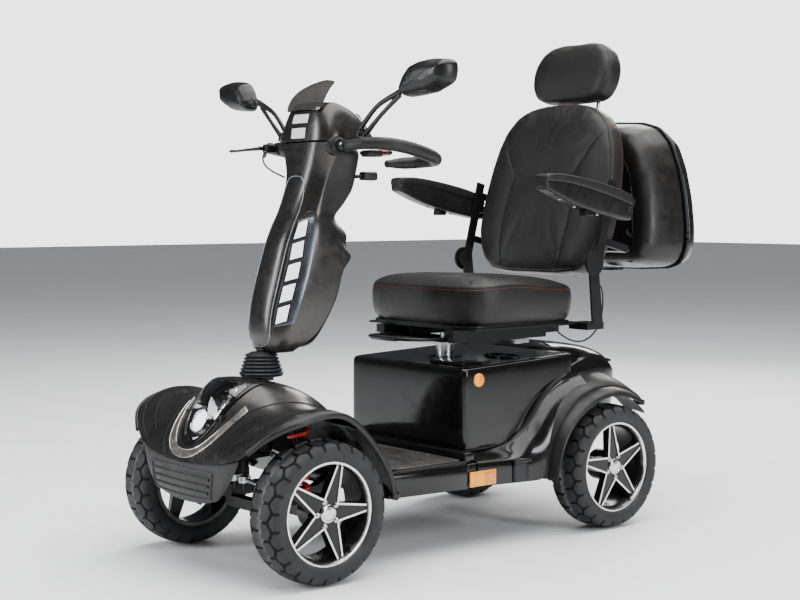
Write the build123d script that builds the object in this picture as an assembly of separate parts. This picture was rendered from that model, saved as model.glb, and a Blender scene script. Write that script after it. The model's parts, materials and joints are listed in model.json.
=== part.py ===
from build123d import *
import math
import os

# ---------------------------------------------------------------------------
# Four-wheel mobility scooter with a captain's seat and a rear top case.
# +X is the rider's left, -Y is the front, +Z is up, all in millimetres.
# Heights are written for a tyre of NOMINAL_TYRE_RADIUS; the export lifts the
# whole scooter when the tyre changes, so that the tyres stay on z = 0.
# ---------------------------------------------------------------------------

# Driving dimensions
NOMINAL_TYRE_RADIUS = 180.0
tyre_radius = 180.0
tyre_half_width = 55.0
rim_radius = 127.0
wheelbase = 1040.0
track_half = 302.0
front_axle_y = -640.0

body_wall = 4.0
axle_radius = 10.0
kingpin_radius = 8.0
running_gap = 0.05
body_gap = 0.4
spring_radius = 24.0
spring_wire = 4.5
spring_turns = 6
damper_radius = 14.5
damper_bore_radius = 12.5
damper_rod_radius = 5.0
damper_tube_length = 140.0
damper_rod_length = 68.0

steering_arm_x = 22.0
steering_arm_y = -70.0
stem_radius = 16.0
tie_rod_radius = 6.0

deck_top = 245.0
deck_thickness = 8.0
deck_half_width = 304.0
seat_box_half_width = 250.0
seat_box_length = 433.0

post_radius = 25.0
cushion_half_width = 250.0
armrest_width = 58.0
handlebar_radius = 15.0
case_half_width = 295.0

# Sizes worked out from the driving dimensions
tyre_growth = tyre_radius - NOMINAL_TYRE_RADIUS
axle_z = NOMINAL_TYRE_RADIUS
rear_axle_y = front_axle_y + wheelbase
kingpin_x = track_half - 47.0
fender_x = track_half + 52.0
box_front_y = rear_axle_y - 508.0
box_rear_y = box_front_y + seat_box_length
stem_y = front_axle_y + 40.0
tilt_z = 525.0
post_y = rear_axle_y - 355.0
front_pivot_y = front_axle_y + 210.0 + tyre_growth
front_pivot_z = 215.0
rear_pivot_y = rear_axle_y - 250.0 - tyre_growth
rear_pivot_z = 190.0
recliner_y = rear_axle_y - 27.0
recliner_z = 768.0
nose_y = front_axle_y - 213.0 - tyre_growth
front_coil_x = 185.0
front_coil_y = front_axle_y + 25.0
rear_coil_x = 185.0
rear_coil_y = rear_axle_y - 60.0
arch_rear_radius = tyre_radius + 40.0
rear_arch_y = rear_axle_y - 24.0
rear_arch_z = axle_z - 4.0


# ---------------------------------------------------------------------------
# Small helpers
# ---------------------------------------------------------------------------
def block(x0, x1, y0, y1, z0, z1):
    size = (x1 - x0, y1 - y0, z1 - z0)
    return Solid.make_box(*size, Plane(origin=(x0, y0, z0)))


def rod(start, end, radius):
    axis = Vector(*end) - Vector(*start)
    return Solid.make_cylinder(radius, axis.length, Plane(origin=start, z_dir=axis))


def x_rod(x0, x1, y, z, radius):
    return rod((x0, y, z), (x1, y, z), radius)


def z_rod(x, y, z0, z1, radius):
    return rod((x, y, z0), (x, y, z1), radius)


def yz_prism(points, x0, x1):
    face = Face(Wire.make_polygon([(x0, y, z) for y, z in points], close=True))
    return extrude(face, amount=x1 - x0, dir=(1, 0, 0))


def xy_prism(points, z0, z1):
    face = Face(Wire.make_polygon([(x, y, z0) for x, y in points], close=True))
    return extrude(face, amount=z1 - z0, dir=(0, 0, 1))


def xz_prism(points, y0, y1):
    face = Face(Wire.make_polygon([(x, y0, z) for x, z in points], close=True))
    return extrude(face, amount=y1 - y0, dir=(0, 1, 0))


def flipped(shape):
    return mirror(shape, about=Plane.YZ)


def both_sides(shape):
    return shape + flipped(shape)


def solids_of(*shapes):
    return Compound(children=[s for shape in shapes for s in shape.solids()])


def upright_loft(sections, inset=0.0):
    """Loft of rounded rectangles; each section is (z, y front, y rear, half width, corner)."""
    faces = []
    for z, y_front, y_rear, half_width, corner in sections:
        width = 2.0 * (half_width - inset)
        depth = y_rear - y_front - 2.0 * inset
        radius = max(corner - inset, 2.0)
        plane = Plane(origin=(0.0, (y_front + y_rear) / 2.0, z))
        faces.append((plane * RectangleRounded(width, depth, radius)).face())
    return loft(faces, ruled=True)


def x_lathe(profile, y, z, start=0.0, sweep=360.0):
    """Turn a profile of (x, r) points about an X axis at (y, z); the start angle leans from up to the front."""
    plane = Plane(origin=(0, y, z), x_dir=(1, 0, 0), z_dir=(0, -1, 0)).rotated((start, 0, 0))
    wire = Wire.make_polygon([plane.from_local_coords((x, r, 0)) for x, r in profile], close=True)
    return revolve(Face(wire), Axis((0, y, z), (1, 0, 0)), sweep)


def save(name, shape):
    shape = shape.moved(Location((0, 0, tyre_growth)))
    solids = shape.solids()
    whole = solids[0] if len(solids) == 1 else Compound(children=list(solids))
    whole.label = name
    export_step(whole, f"parts/{name}.step")


# ---------------------------------------------------------------------------
# Wheels
# ---------------------------------------------------------------------------
bead_flange = 7.0
rim_lip_width = 6.0
rim_wall = 5.0
hub_radius = 34.0
spoke_count = 5
rim_half_width = 50.0


def tyre(side, axle_y):
    """Pneumatic tyre with rounded shoulders, open towards the rim."""
    half = tyre_half_width
    crown = tyre_radius
    bead = rim_radius
    heel = rim_half_width - rim_lip_width
    outer = [
        (-heel, bead), (-heel, bead + 10), (-half, bead + 22), (-half, crown - 17),
        (-half + 6, crown - 6), (-half + 18, crown), (half - 18, crown), (half - 6, crown - 6),
        (half, crown - 17), (half, bead + 22), (heel, bead + 10), (heel, bead),
        (heel - 8, bead), (half - 12, bead + 24), (half - 14, crown - 19), (half - 20, crown - 14),
        (-half + 20, crown - 14), (-half + 14, crown - 19), (-half + 12, bead + 24),
        (-heel + 8, bead),
    ]
    return x_lathe([(side * track_half + x, r) for x, r in outer], axle_y, axle_z)


def rim(side, axle_y):
    """Cast five-spoke rim with its hub, a domed cap and five bolts."""
    centre = side * track_half
    seat = rim_half_width - rim_lip_width
    barrel_in = rim_radius - rim_wall
    outline = [
        (-seat, rim_radius), (seat, rim_radius), (seat, rim_radius + bead_flange),
        (rim_half_width, rim_radius + bead_flange), (rim_half_width, barrel_in),
        (-rim_half_width, barrel_in), (-rim_half_width, rim_radius + bead_flange),
        (-seat, rim_radius + bead_flange),
    ]
    body = x_lathe([(centre + side * x, r) for x, r in outline], axle_y, axle_z)
    spoke_in = centre + side * 28.0
    spoke_out = centre + side * 42.0
    hub_in = centre - side * 14.0
    hub = x_rod(hub_in, spoke_out, axle_y, axle_z, hub_radius)
    body = body + hub
    for k in range(spoke_count):
        angle = math.radians(90.0 + 360.0 / spoke_count * k)
        points = []
        for along, across in ((20, -22), (rim_radius - 2, -12), (rim_radius - 2, 12), (20, 22)):
            y = axle_y + along * math.cos(angle) - across * math.sin(angle)
            z = axle_z + along * math.sin(angle) + across * math.cos(angle)
            points.append((y, z))
        body = body + yz_prism(points, min(spoke_in, spoke_out), max(spoke_in, spoke_out))
    bore = x_rod(centre - side * 60, centre + side * 60, axle_y, axle_z, axle_radius + running_gap)
    body = body - bore
    cap_seat = spoke_out
    cap = x_rod(cap_seat, cap_seat + side * 7, axle_y, axle_z, 21.0)
    cap = cap + x_rod(cap_seat + side * 7, cap_seat + side * 11, axle_y, axle_z, 15.0)
    pieces = [body, cap]
    for k in range(spoke_count):
        angle = math.radians(90.0 + 360.0 / spoke_count * k)
        y = axle_y + 28.0 * math.cos(angle)
        z = axle_z + 28.0 * math.sin(angle)
        pieces.append(x_rod(cap_seat, cap_seat + side * 5, y, z, 4.5))
    return solids_of(*pieces)


# ---------------------------------------------------------------------------
# Front suspension and steering
# ---------------------------------------------------------------------------
beam_low = 160.0
beam_top = 198.0
drop_low = 138.0
drop_top = 166.0
drop_half_width = 62.0
knuckle_gap = 2.0
plate = 8.0
arm_sleeve_radius = 18.0
pivot_pin_radius = 10.0
tie_rod_z = 224.0
stud_radius = 5.0


def front_axle_beam():
    """Cross beam with kingpin bosses on two leading arms that turn on the frame's pivot pin."""
    near = front_axle_y - 16
    far = front_axle_y + 16
    beam = block(-kingpin_x + 14, kingpin_x - 14, near, far, beam_low, beam_top)
    beam = beam - block(-drop_half_width, drop_half_width, near - 1, far + 1, drop_top, beam_top + 1)
    beam = beam + block(-drop_half_width - 28, drop_half_width + 28, near, far, drop_low, drop_top)
    for side in (-1, 1):
        x = side * kingpin_x
        beam = beam + z_rod(x, front_axle_y, beam_low, beam_top, kingpin_radius + 8)
    for side in (-1, 1):
        inner = 64.0 if side > 0 else -94.0
        arm = yz_prism([
            (front_axle_y, beam_low + 4), (front_axle_y, beam_top - 2),
            (front_pivot_y - 60, beam_top - 2), (front_pivot_y, front_pivot_z + 14),
            (front_pivot_y + 10, front_pivot_z - 12), (front_pivot_y - 55, beam_low + 6),
        ], inner, inner + 30)
        arm = arm + x_rod(inner - 4, inner + 34, front_pivot_y, front_pivot_z, arm_sleeve_radius)
        beam = beam + arm
        seat_x = side * front_coil_x
        beam = beam + block(seat_x - 26, seat_x + 26, front_axle_y - 10, front_coil_y + 26,
                            beam_top - 8, beam_top + 2)
        rod_top = beam_top + damper_rod_length
        beam = beam + z_rod(seat_x, front_coil_y, beam_top, rod_top, damper_rod_radius)
    beam = beam - x_rod(-120, 120, front_pivot_y, front_pivot_z, pivot_pin_radius + running_gap)
    for side in (-1, 1):
        x = side * kingpin_x
        hole = z_rod(x, front_axle_y, beam_low - 10, beam_top + 10, kingpin_radius + running_gap)
        beam = beam - hole
    return beam


def knuckle(side):
    """Steering knuckle: kingpin between two plates, stub axle and steering arm with its stud."""
    x = side * kingpin_x
    web_x = x + side * 20
    top = beam_top + knuckle_gap
    low = beam_low - knuckle_gap
    body = z_rod(x, front_axle_y, low - plate, top + plate, kingpin_radius)
    for z0 in (low - plate, top):
        body = body + z_rod(x, front_axle_y, z0, z0 + plate, 19.0)
        body = body + block(min(x, web_x + side * 8), max(x, web_x + side * 8),
                            front_axle_y - 18, front_axle_y + 18, z0, z0 + plate)
    body = body + block(min(web_x, web_x + side * 8), max(web_x, web_x + side * 8),
                        front_axle_y - 18, front_axle_y + 18, low - plate, top + plate)
    stub_end = side * (track_half + 40.0)
    body = body + x_rod(web_x, stub_end, front_axle_y, axle_z, axle_radius)
    end_x = x + side * steering_arm_x
    end_y = front_axle_y + steering_arm_y
    arm = xy_prism([
        (x - side * 12, front_axle_y), (x + side * 12, front_axle_y),
        (end_x + side * 9, end_y), (end_x - side * 9, end_y),
    ], top, top + plate)
    arm = arm + z_rod(end_x, end_y, top, top + plate, 11.0)
    arm = arm + z_rod(end_x, end_y, top, tie_rod_z + 11, stud_radius)
    arm = arm + z_rod(end_x, end_y, tie_rod_z + 8.5, tie_rod_z + 14, 8.0)
    return body + arm


def tie_rod(side):
    """Bar from the knuckle's stud to the pitman stud, an eye at each end."""
    outer = (side * (kingpin_x + steering_arm_x), front_axle_y + steering_arm_y, tie_rod_z)
    inner = (side * steering_arm_x, stem_y + steering_arm_y, tie_rod_z)
    bar = rod(outer, inner, tie_rod_radius)
    for point, radius in ((outer, 12.0), (inner, 16.0)):
        bar = bar + z_rod(point[0], point[1], tie_rod_z - 8, tie_rod_z + 8, radius)
    for point, hole in ((outer, stud_radius + running_gap), (inner, stud_radius + 6.0)):
        bar = bar - z_rod(point[0], point[1], tie_rod_z - 20, tie_rod_z + 20, hole)
    return bar


head_low = 290.0
head_top = 440.0


def steering_stem():
    """Steering column with the pitman plate below and the tilt clevis above."""
    pitman_z = head_low - 14.0
    body = z_rod(0, stem_y, pitman_z, tilt_z - 40, stem_radius)
    body = body + z_rod(0, stem_y, head_top + 1, head_top + 9, stem_radius + 9)
    body = body + xy_prism([
        (-20, stem_y + 12), (20, stem_y + 12), (steering_arm_x + 12, stem_y + steering_arm_y),
        (steering_arm_x, stem_y + steering_arm_y - 12), (-steering_arm_x, stem_y + steering_arm_y - 12),
        (-steering_arm_x - 12, stem_y + steering_arm_y),
    ], pitman_z, pitman_z + 12)
    for side in (-1, 1):
        x = side * steering_arm_x
        body = body + z_rod(x, stem_y + steering_arm_y, 196, pitman_z + 4, stud_radius)
    body = body + block(-30, 30, stem_y - 18, stem_y + 18, tilt_z - 48, tilt_z - 34)
    for side in (-1, 1):
        x = side * 26.0
        ear = block(x - 4, x + 4, stem_y - 16, stem_y + 16, tilt_z - 36, tilt_z)
        body = body + ear + x_rod(x - 4, x + 4, stem_y, tilt_z, 16)
    body = body + x_rod(-26, 26, stem_y, tilt_z, 7.0)
    return body


# ---------------------------------------------------------------------------
# Rear suspension
# ---------------------------------------------------------------------------
axle_tube_radius = 23.0


def rear_swing_arm():
    """Two trailing arms on the frame's rear pivot pin, joined by a cross plate."""
    body = block(-150, 150, rear_axle_y - 105, rear_axle_y - 72, axle_z - 20, axle_z + 14)
    for side in (-1, 1):
        inner = 118.0 if side > 0 else -146.0
        arm = yz_prism([
            (rear_pivot_y - 10, rear_pivot_z - 14), (rear_pivot_y - 6, rear_pivot_z + 14),
            (rear_axle_y + 24, axle_z + 18), (rear_axle_y + 24, axle_z - 18),
        ], inner, inner + 28)
        arm = arm + x_rod(inner - 3, inner + 31, rear_pivot_y, rear_pivot_z, arm_sleeve_radius)
        arm = arm + x_rod(inner, inner + 28, rear_axle_y, axle_z, axle_tube_radius + 11)
        body = body + arm
        x = side * rear_coil_x
        body = body + block(min(side * 130, x + side * 26), max(side * 130, x + side * 26),
                            rear_coil_y - 26, rear_coil_y + 26, axle_z + 8, axle_z + 18)
        rod_top = rear_coil_low + damper_rod_length
        body = body + z_rod(x, rear_coil_y, axle_z + 16, rod_top, damper_rod_radius)
    body = body - x_rod(-160, 160, rear_pivot_y, rear_pivot_z, pivot_pin_radius + running_gap)
    body = body - x_rod(-160, 160, rear_axle_y, axle_z, axle_tube_radius + 0.1)
    return body


def transaxle():
    """Motor with its gearbox, and the axle tubes with the two stub axles."""
    gearbox = x_rod(-48, 48, rear_axle_y, axle_z, 62.0)
    tubes = x_rod(-230, 230, rear_axle_y, axle_z, axle_tube_radius)
    stubs = x_rod(-track_half - 40, track_half + 40, rear_axle_y, axle_z, axle_radius)
    motor = rod((30, rear_axle_y + 20, axle_z + 20), (30, rear_axle_y + 190, axle_z + 60), 46.0)
    return gearbox + tubes + stubs + motor


def coil(x, y, z0, z1):
    """Closed sleeve-shaped coil: a wire wound round the damper."""
    pitch = (z1 - z0 - 2 * spring_wire) / spring_turns
    path = Wire(Edge.make_helix(pitch, pitch * spring_turns, spring_radius - spring_wire,
                                center=(x, y, z0 + spring_wire)))
    start = path @ 0
    section = Plane(origin=start, z_dir=path % 0) * Circle(spring_wire)
    return sweep(section, path=path)


front_coil_low = beam_top + 2 + 0.5
front_coil_high = 392.0
rear_coil_low = axle_z + 18 + 0.5
rear_coil_high = 375.0


def damper_body(x, y, top):
    """Damper tube under its top seat, with the bore that the rod runs in."""
    low = top - damper_tube_length
    tube = z_rod(x, y, low, top, damper_radius) + z_rod(x, y, top, top + 6, spring_radius + 2)
    return tube - z_rod(x, y, low - 5, top - 6, damper_bore_radius)


# ---------------------------------------------------------------------------
# Frame
# ---------------------------------------------------------------------------
def frame():
    """Welded ladder frame with the head tube, spring bridges, pivot pins and seat post socket."""
    rail_low = deck_top - deck_thickness - 42.0
    rail_top = deck_top - deck_thickness - 1.0
    front_end = front_pivot_y - 15
    rear_end = rear_pivot_y + 15
    body = block(108, 148, front_end, rear_end, rail_low, rail_top)
    body = both_sides(body)
    body = body + x_rod(-128, 128, front_pivot_y, front_pivot_z, pivot_pin_radius)
    body = body + block(-128, 128, front_pivot_y + 30, front_pivot_y + 60, rail_low, rail_top)
    body = body + block(-128, 128, post_y - 40, post_y - 34, rail_low, rail_top)
    body = body + block(-128, 128, post_y - 36, post_y + 36, rail_low, rail_low + 8)
    body = body + block(-128, 128, box_front_y + 10, box_front_y + 40, rail_low, rail_top)
    # rear pivot pin and its lugs
    for side in (-1, 1):
        x = side * 162.0
        lug = block(x - 6, x + 6, rear_pivot_y - 30, rear_pivot_y + 16, rear_pivot_z - 16, rail_top)
        tie = block(min(side * 146, x), max(side * 146, x), rear_pivot_y - 60, rear_pivot_y - 22,
                    rail_low, rail_top)
        tie = tie + block(x - 6, x + 6, rear_pivot_y - 60, rear_pivot_y - 22, rail_low, rail_top)
        body = body - block(min(side * 100, side * 156), max(side * 100, side * 156),
                            rear_pivot_y - 22, rear_pivot_y + 40, rail_low - 30, rail_top - 8)
        body = body + lug + tie
    body = body + x_rod(-162, 162, rear_pivot_y, rear_pivot_z, pivot_pin_radius)
    # rear spring bridge on two legs from the rails
    bridge_z = rear_coil_high + 6.0
    body = body + block(-212, 212, rear_coil_y - 20, rear_coil_y + 20, bridge_z, bridge_z + 10)
    for side in (-1, 1):
        x0 = 90.0 if side > 0 else -108.0
        leg = yz_prism([
            (rear_pivot_y - 100, rail_top - 20), (rear_pivot_y - 60, rail_top - 20),
            (rear_coil_y + 18, bridge_z), (rear_coil_y + 18, bridge_z + 10),
            (rear_coil_y - 20, bridge_z + 10),
        ], x0, x0 + 18)
        body = body + leg
        rail_link = block(min(side * 90, side * 120), max(side * 90, side * 120),
                          rear_pivot_y - 100, rear_pivot_y - 64, rail_top - 20, rail_top)
        body = body + rail_link
    # head tube, its spine and the front spring bridge
    body = body + z_rod(0, stem_y, head_low, head_top, stem_radius + 11)
    body = body + yz_prism([
        (front_pivot_y + 50, rail_top), (front_pivot_y + 50, rail_top - 14),
        (front_pivot_y - 30, rail_top), (stem_y + 18, head_low + 4), (stem_y + 18, head_low + 60),
        (front_pivot_y - 30, rail_top + 66), (front_pivot_y + 20, rail_top + 30),
    ], -22, 22)
    bridge_z = front_coil_high + 6.0
    body = body + block(-212, 212, front_coil_y - 18, front_coil_y + 22, bridge_z, bridge_z + 10)
    body = body - z_rod(0, stem_y, head_low - 5, head_top + 5, stem_radius + running_gap)
    # bumper brackets in front of the head tube
    for side in (-1, 1):
        x0 = 70.0 if side > 0 else -84.0
        body = body + block(x0, x0 + 14, nose_y + 72, front_coil_y, bridge_z - 40, bridge_z + 8)
        body = body + block(x0, x0 + 14, nose_y + 72, nose_y + 86, 240, bridge_z)
    # seat post socket
    socket = z_rod(0, post_y, rail_low, 470, post_radius + 6)
    body = body + socket
    body = body - z_rod(0, post_y, rail_low + 60, 480, post_radius + running_gap)
    return body


# ---------------------------------------------------------------------------
# Floor, bumper and front bodywork
# ---------------------------------------------------------------------------
floor_front_y = front_axle_y + 222.0 + tyre_growth
skirt_low = 172.0


def floor_pan():
    """Moulded floor with side sills; it stops behind the front wheels and carries the seat box."""
    low = deck_top - deck_thickness
    rear = rear_arch_y - arch_rear_radius - 21.0
    plan = [(-deck_half_width, floor_front_y), (deck_half_width, floor_front_y),
            (deck_half_width, rear), (-deck_half_width, rear)]
    body = xy_prism(plan, low, deck_top)
    for side in (-1, 1):
        x0 = deck_half_width - 5 if side > 0 else -deck_half_width
        body = body + block(x0, x0 + 5, floor_front_y, rear, skirt_low, low)
    body = body - block(-26, 26, floor_front_y - 10, front_pivot_y + 62, low - 5, deck_top + 5)
    body = body - z_rod(0, post_y, low - 5, deck_top + 5, post_radius + 8)
    for side in (-1, 1):
        x0 = 84.0 if side > 0 else -112.0
        body = body - block(x0, x0 + 28, rear_pivot_y - 110, rear + 5, low - 5, deck_top + 5)
    return body


mat_thickness = 4.0


def floor_mat():
    """Rubber mat on the floor, with a cut-out round the frame's spine."""
    back = box_front_y - 3.0
    front = front_pivot_y + 66.0
    plan = [(-278, back), (278, back), (270, front), (-270, front)]
    return xy_prism(plan, deck_top, deck_top + mat_thickness)


fender_profile = [
    (-196, 140), (-190, 160), (-170, 196), (-128, 228), (-60, 250), (0, 257), (66, 247),
    (132, 196), (188, 112), (219, 22),
]


def front_outline():
    """Half plan of the front bodywork, from the nose back to the floor."""
    nose = nose_y
    axle = front_axle_y
    reach = fender_x
    half = [
        (0, nose), (120, nose + 4), (220, nose + 16), (reach - 84, axle - 182 - tyre_growth),
        (reach - 44, axle - 157), (reach - 20, axle - 120), (reach - 6, axle - 80),
        (reach, axle), (reach - 2, axle + 80), (reach - 12, axle + 160),
        (reach - 26, axle + 224 + tyre_growth),
    ]
    return half


def fender_band(thickness, lift):
    """Closed band of the fender's side profile about the front axle."""
    grow = (tyre_radius + lift) / NOMINAL_TYRE_RADIUS
    outer = [(front_axle_y + y * grow, axle_z + z * grow) for y, z in fender_profile]
    inner = []
    for y, z in fender_profile:
        reach = math.hypot(y, z)
        share = 1.0 - thickness / reach
        inner.append((front_axle_y + y * grow * share, axle_z + z * grow * share))
    return outer + inner[::-1]


cowl_half_width = 168.0
bumper_low = 186.0
bumper_top = 316.0


def front_fenders():
    """Left and right wheel covers: a curved band over each front wheel with an inner wall."""
    outline = front_outline()
    plan = outline + [(x, y) for x, y in [(cowl_half_width + body_gap, outline[-1][1]),
                                          (cowl_half_width + body_gap, outline[0][1] - 1)]]
    plan = [p for p in plan if p[0] > cowl_half_width]
    cover = yz_prism(fender_band(body_wall, 0.0), cowl_half_width, fender_x + 5)
    cover = cover & xy_prism(plan, 150, 500)
    return both_sides(cover.solids().sort_by(SortBy.VOLUME)[-1])


def cowl_sections(inset):
    """Hood solid from its side profile and its plan."""
    nose = nose_y + inset
    profile = [
        (nose + 6, 322), (nose + 40, 340), (nose + 62, 402), (nose + 108, 470 - inset),
        (nose + 120, 494 - inset), (nose + 170, 488 - inset), (front_axle_y + 60, 480 - inset),
        (front_axle_y + 164, 428 - inset), (front_pivot_y + 4 - inset, 392 - inset),
        (front_pivot_y + 40 - inset, 300), (front_pivot_y + 50 - inset, deck_top + 6),
        (nose + 6, deck_top + 6),
    ]
    half = cowl_half_width - inset
    solid = yz_prism(profile, -half, half)
    plan = [
        (-half, front_pivot_y + 60), (half, front_pivot_y + 60), (half, nose + 60),
        (120 - inset, nose + 4), (-120 + inset, nose + 4), (-half, nose + 60),
    ]
    solid = solid & xy_prism(plan, 200, 520)
    slope = xz_prism([
        (-half, 200), (half, 200), (half, 440 - inset), (108 - inset, 520), (-108 + inset, 520),
        (-half, 440 - inset),
    ], nose_y - 10, front_pivot_y + 80)
    return solid & slope


lamp_top = [(-72, 478), (72, 478), (46, 400), (0, 338), (-46, 400)]


def headlamp_prism(grow, y0, y1):
    points = [(x * grow, 408 + (z - 408) * grow) for x, z in lamp_top]
    return xz_prism(points, y0, y1)


def front_cowl():
    """Hood shell over the steering head, open below, with the headlamp opening in its face."""
    body = cowl_sections(0.0) - cowl_sections(body_wall)
    body = body - block(-400, 400, nose_y - 20, front_pivot_y + 200, 190, deck_top + 12)
    body = body - block(-400, 400, nose_y - 20, front_axle_y - 120, 190, bumper_top + 2)
    body = body - z_rod(0, stem_y, 380, 560, 62.0)
    body = body - headlamp_prism(1.0, nose_y - 10, nose_y + 150)
    for side in (-1, 1):
        x0 = 160.0 if side > 0 else -220.0
        wheel_side = block(x0, x0 + 60, front_axle_y - 120, front_axle_y + 150, 250, 414)
        body = body - wheel_side
    body = body - block(-24, 24, front_pivot_y - 40, front_pivot_y + 80, 240, 300)
    return body.solids().sort_by(SortBy.VOLUME)[-1]


def headlamp_housing():
    """Closed tray behind the lens, with the round lamp at its low point."""
    tray = headlamp_prism(0.97, nose_y + 60, nose_y + 150)
    front = yz_prism([(nose_y + 40, 300), (nose_y + 60, 402), (nose_y + 122, 494), (nose_y + 200, 494),
                      (nose_y + 200, 300)], -90, 90)
    tray = tray & front.moved(Location((0, 16, 0)))
    hollow = headlamp_prism(0.9, nose_y + 40, nose_y + 128)
    tray = tray - (hollow & front.moved(Location((0, -30, 0))))
    return tray.solids().sort_by(SortBy.VOLUME)[-1]


def headlamp_lens():
    """Clear V-shaped cover that closes the opening in the hood."""
    points = [(nose_y + 34, 326), (nose_y + 62, 402), (nose_y + 108, 470), (nose_y + 120, 496)]
    band = [(y + 1.5, z) for y, z in points] + [(y + 5.5, z) for y, z in points[::-1]]
    lens = yz_prism(band, -90, 90) & headlamp_prism(0.985, nose_y, nose_y + 150)
    return lens.solids().sort_by(SortBy.VOLUME)[-1]


def nose_trim():
    """Silver band in a V below the headlamp."""
    outer = [(-160, 384), (-96, 348), (0, 318), (96, 348), (160, 384), (150, 398), (90, 364),
             (0, 334), (-90, 364), (-150, 398)]
    band = xz_prism(outer, nose_y, nose_y + 120)
    skin = cowl_sections(-3.0) - cowl_sections(-0.05)
    band = band & skin & block(-200, 200, nose_y - 10, nose_y + 110, 300, 420)
    return band.solids().sort_by(SortBy.VOLUME)[-1]


def front_bumper():
    """Textured bumper under the hood with three grille slots."""
    outer = [(0, nose_y), (120, nose_y + 4), (205, nose_y + 14), (212, nose_y + 26)]
    inner = [(205, nose_y + 26), (116, nose_y + 16), (0, nose_y + 12)]
    half = outer + inner
    plan = half + [(-x, y) for x, y in half[::-1] if x > 0]
    body = xy_prism(plan, bumper_low, bumper_top)
    for row in range(3):
        z = 222 + 20 * row
        body = body - block(-92, 92, nose_y - 5, nose_y + 30, z, z + 10)
    bracket = block(69, 85, nose_y + 8, nose_y + 71.8, 280, 308)
    return body + both_sides(bracket)


def gaiter():
    """Rubber bellows between the hood and the tiller."""
    rings = 6
    low = 488.0
    high = 548.0
    step = (high - low) / rings
    outer = []
    for k in range(rings):
        base = 58.0 - 3.0 * k
        outer.append((base - 7, low + k * step))
        outer.append((base, low + (k + 0.5) * step))
    outer.append((38.0, high))
    inner = [(r - 3.5, z) for r, z in outer[::-1]]
    points = [(r, z) for r, z in outer + inner]
    wire = Wire.make_polygon([(r, stem_y, z) for r, z in points], close=True)
    return revolve(Face(wire), Axis((0, stem_y, 0), (0, 0, 1)), 360)


# ---------------------------------------------------------------------------
# Seat box, rear bodywork and lamps
# ---------------------------------------------------------------------------
box_low = deck_top
box_top = 496.0
well_x = track_half - tyre_half_width - 12.0
fairing_half_width = 226.0


def seat_box_solid(inset):
    half = seat_box_half_width - inset
    front = box_front_y + inset
    rear = box_rear_y - inset
    profile = [(front + 8, box_low - 1), (front, 480), (front + 12, box_top - inset),
               (rear, box_top + 12 - inset), (rear, box_low - 1)]
    solid = yz_prism(profile, -half, half)
    return solid


def seat_box():
    """Battery cover: an open-bottomed box with the post hole and arches for the rear wheels."""
    body = seat_box_solid(0.0) - seat_box_solid(body_wall)
    body = body - block(-400, 400, box_front_y - 20, box_rear_y + 20, box_low - 10, box_low + 0.2)
    inner = seat_box_half_width - body_wall
    body = body - block(-inner, inner, box_rear_y - 30, box_rear_y + 5, box_low - 5, box_top - 2)
    for side in (-1, 1):
        x0 = side * well_x
        x1 = side * 400
        body = body - x_rod(x0, x1, rear_arch_y, rear_arch_z, arch_rear_radius + 24)
    body = body - z_rod(0, post_y, 400, 560, post_radius + 12)
    return body.solids().sort_by(SortBy.VOLUME)[-1]


def batteries():
    """Two sealed batteries side by side on the frame."""
    low = deck_top
    left = block(34, 212, box_front_y + 20, box_front_y + 150 - 8, low, low + 175)
    return solids_of(left, flipped(left))


def fairing_solid(inset):
    """Outer form of the rear hood, drawn in by the inset."""
    y0 = box_rear_y + body_gap
    tail = rear_axle_y + 150
    profile = [(y0 + inset, 320), (y0 + inset, box_top + 12 - inset), (y0 + 120, 506 - inset),
               (tail - 22, 498 - inset), (tail - inset, 470 - inset), (tail - 18 - inset, 320)]
    half = fairing_half_width - inset
    solid = yz_prism(profile, -half, half)
    plan = [(-half, y0 - 5), (half, y0 - 5), (half, tail - 60), (half - 36, tail),
            (-half + 36, tail), (-half, tail - 60)]
    return solid & xy_prism(plan, 250, 560)


def rear_fairing():
    """Hood behind the seat box, over the transaxle, down to the tail; open in front and below."""
    body = fairing_solid(0.0) - fairing_solid(body_wall)
    body = body - block(-400, 400, box_rear_y - 10, rear_axle_y + 300, 300, 330)
    inner = fairing_half_width - body_wall
    body = body - block(-inner, inner, box_rear_y - 5, box_rear_y + 30, 300, box_top)
    return body.solids().sort_by(SortBy.VOLUME)[-1]


fender_start = -42.0
fender_sweep = 136.0


def rear_fenders():
    """Left and right rear mudguards with a flared lip, each with its inner wall."""
    lip = arch_rear_radius
    step = lip + 20.0
    pieces = []
    for side in (-1, 1):
        inner_x = 228.0
        profile = [(inner_x, step - body_wall), (fender_x - 34, step - body_wall),
                   (fender_x - 1, lip - body_wall), (fender_x, lip), (fender_x - 32, step),
                   (inner_x, step)]
        profile = [(side * x, r) for x, r in profile]
        band = x_lathe(profile, rear_arch_y, rear_arch_z, fender_start, fender_sweep)
        pieces.append(band)
    return solids_of(*pieces)


def reflectors():
    """Round reflectors on the seat box, rectangular ones on the sills and two tail lamps."""
    lamp = block(110, 180, rear_axle_y + 130, rear_axle_y + 156, 400, 440) - fairing_solid(0.0)
    pieces = [lamp, flipped(lamp)]
    for side in (-1, 1):
        x = side * seat_box_half_width
        pieces.append(x_rod(x, x + side * 7, box_front_y + 54, 457, 17.0))
        x0 = deck_half_width if side > 0 else -deck_half_width - 6
        pieces.append(block(x0, x0 + 6, box_front_y - 29, box_front_y + 66, 180, 218))
    return solids_of(*pieces)


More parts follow.
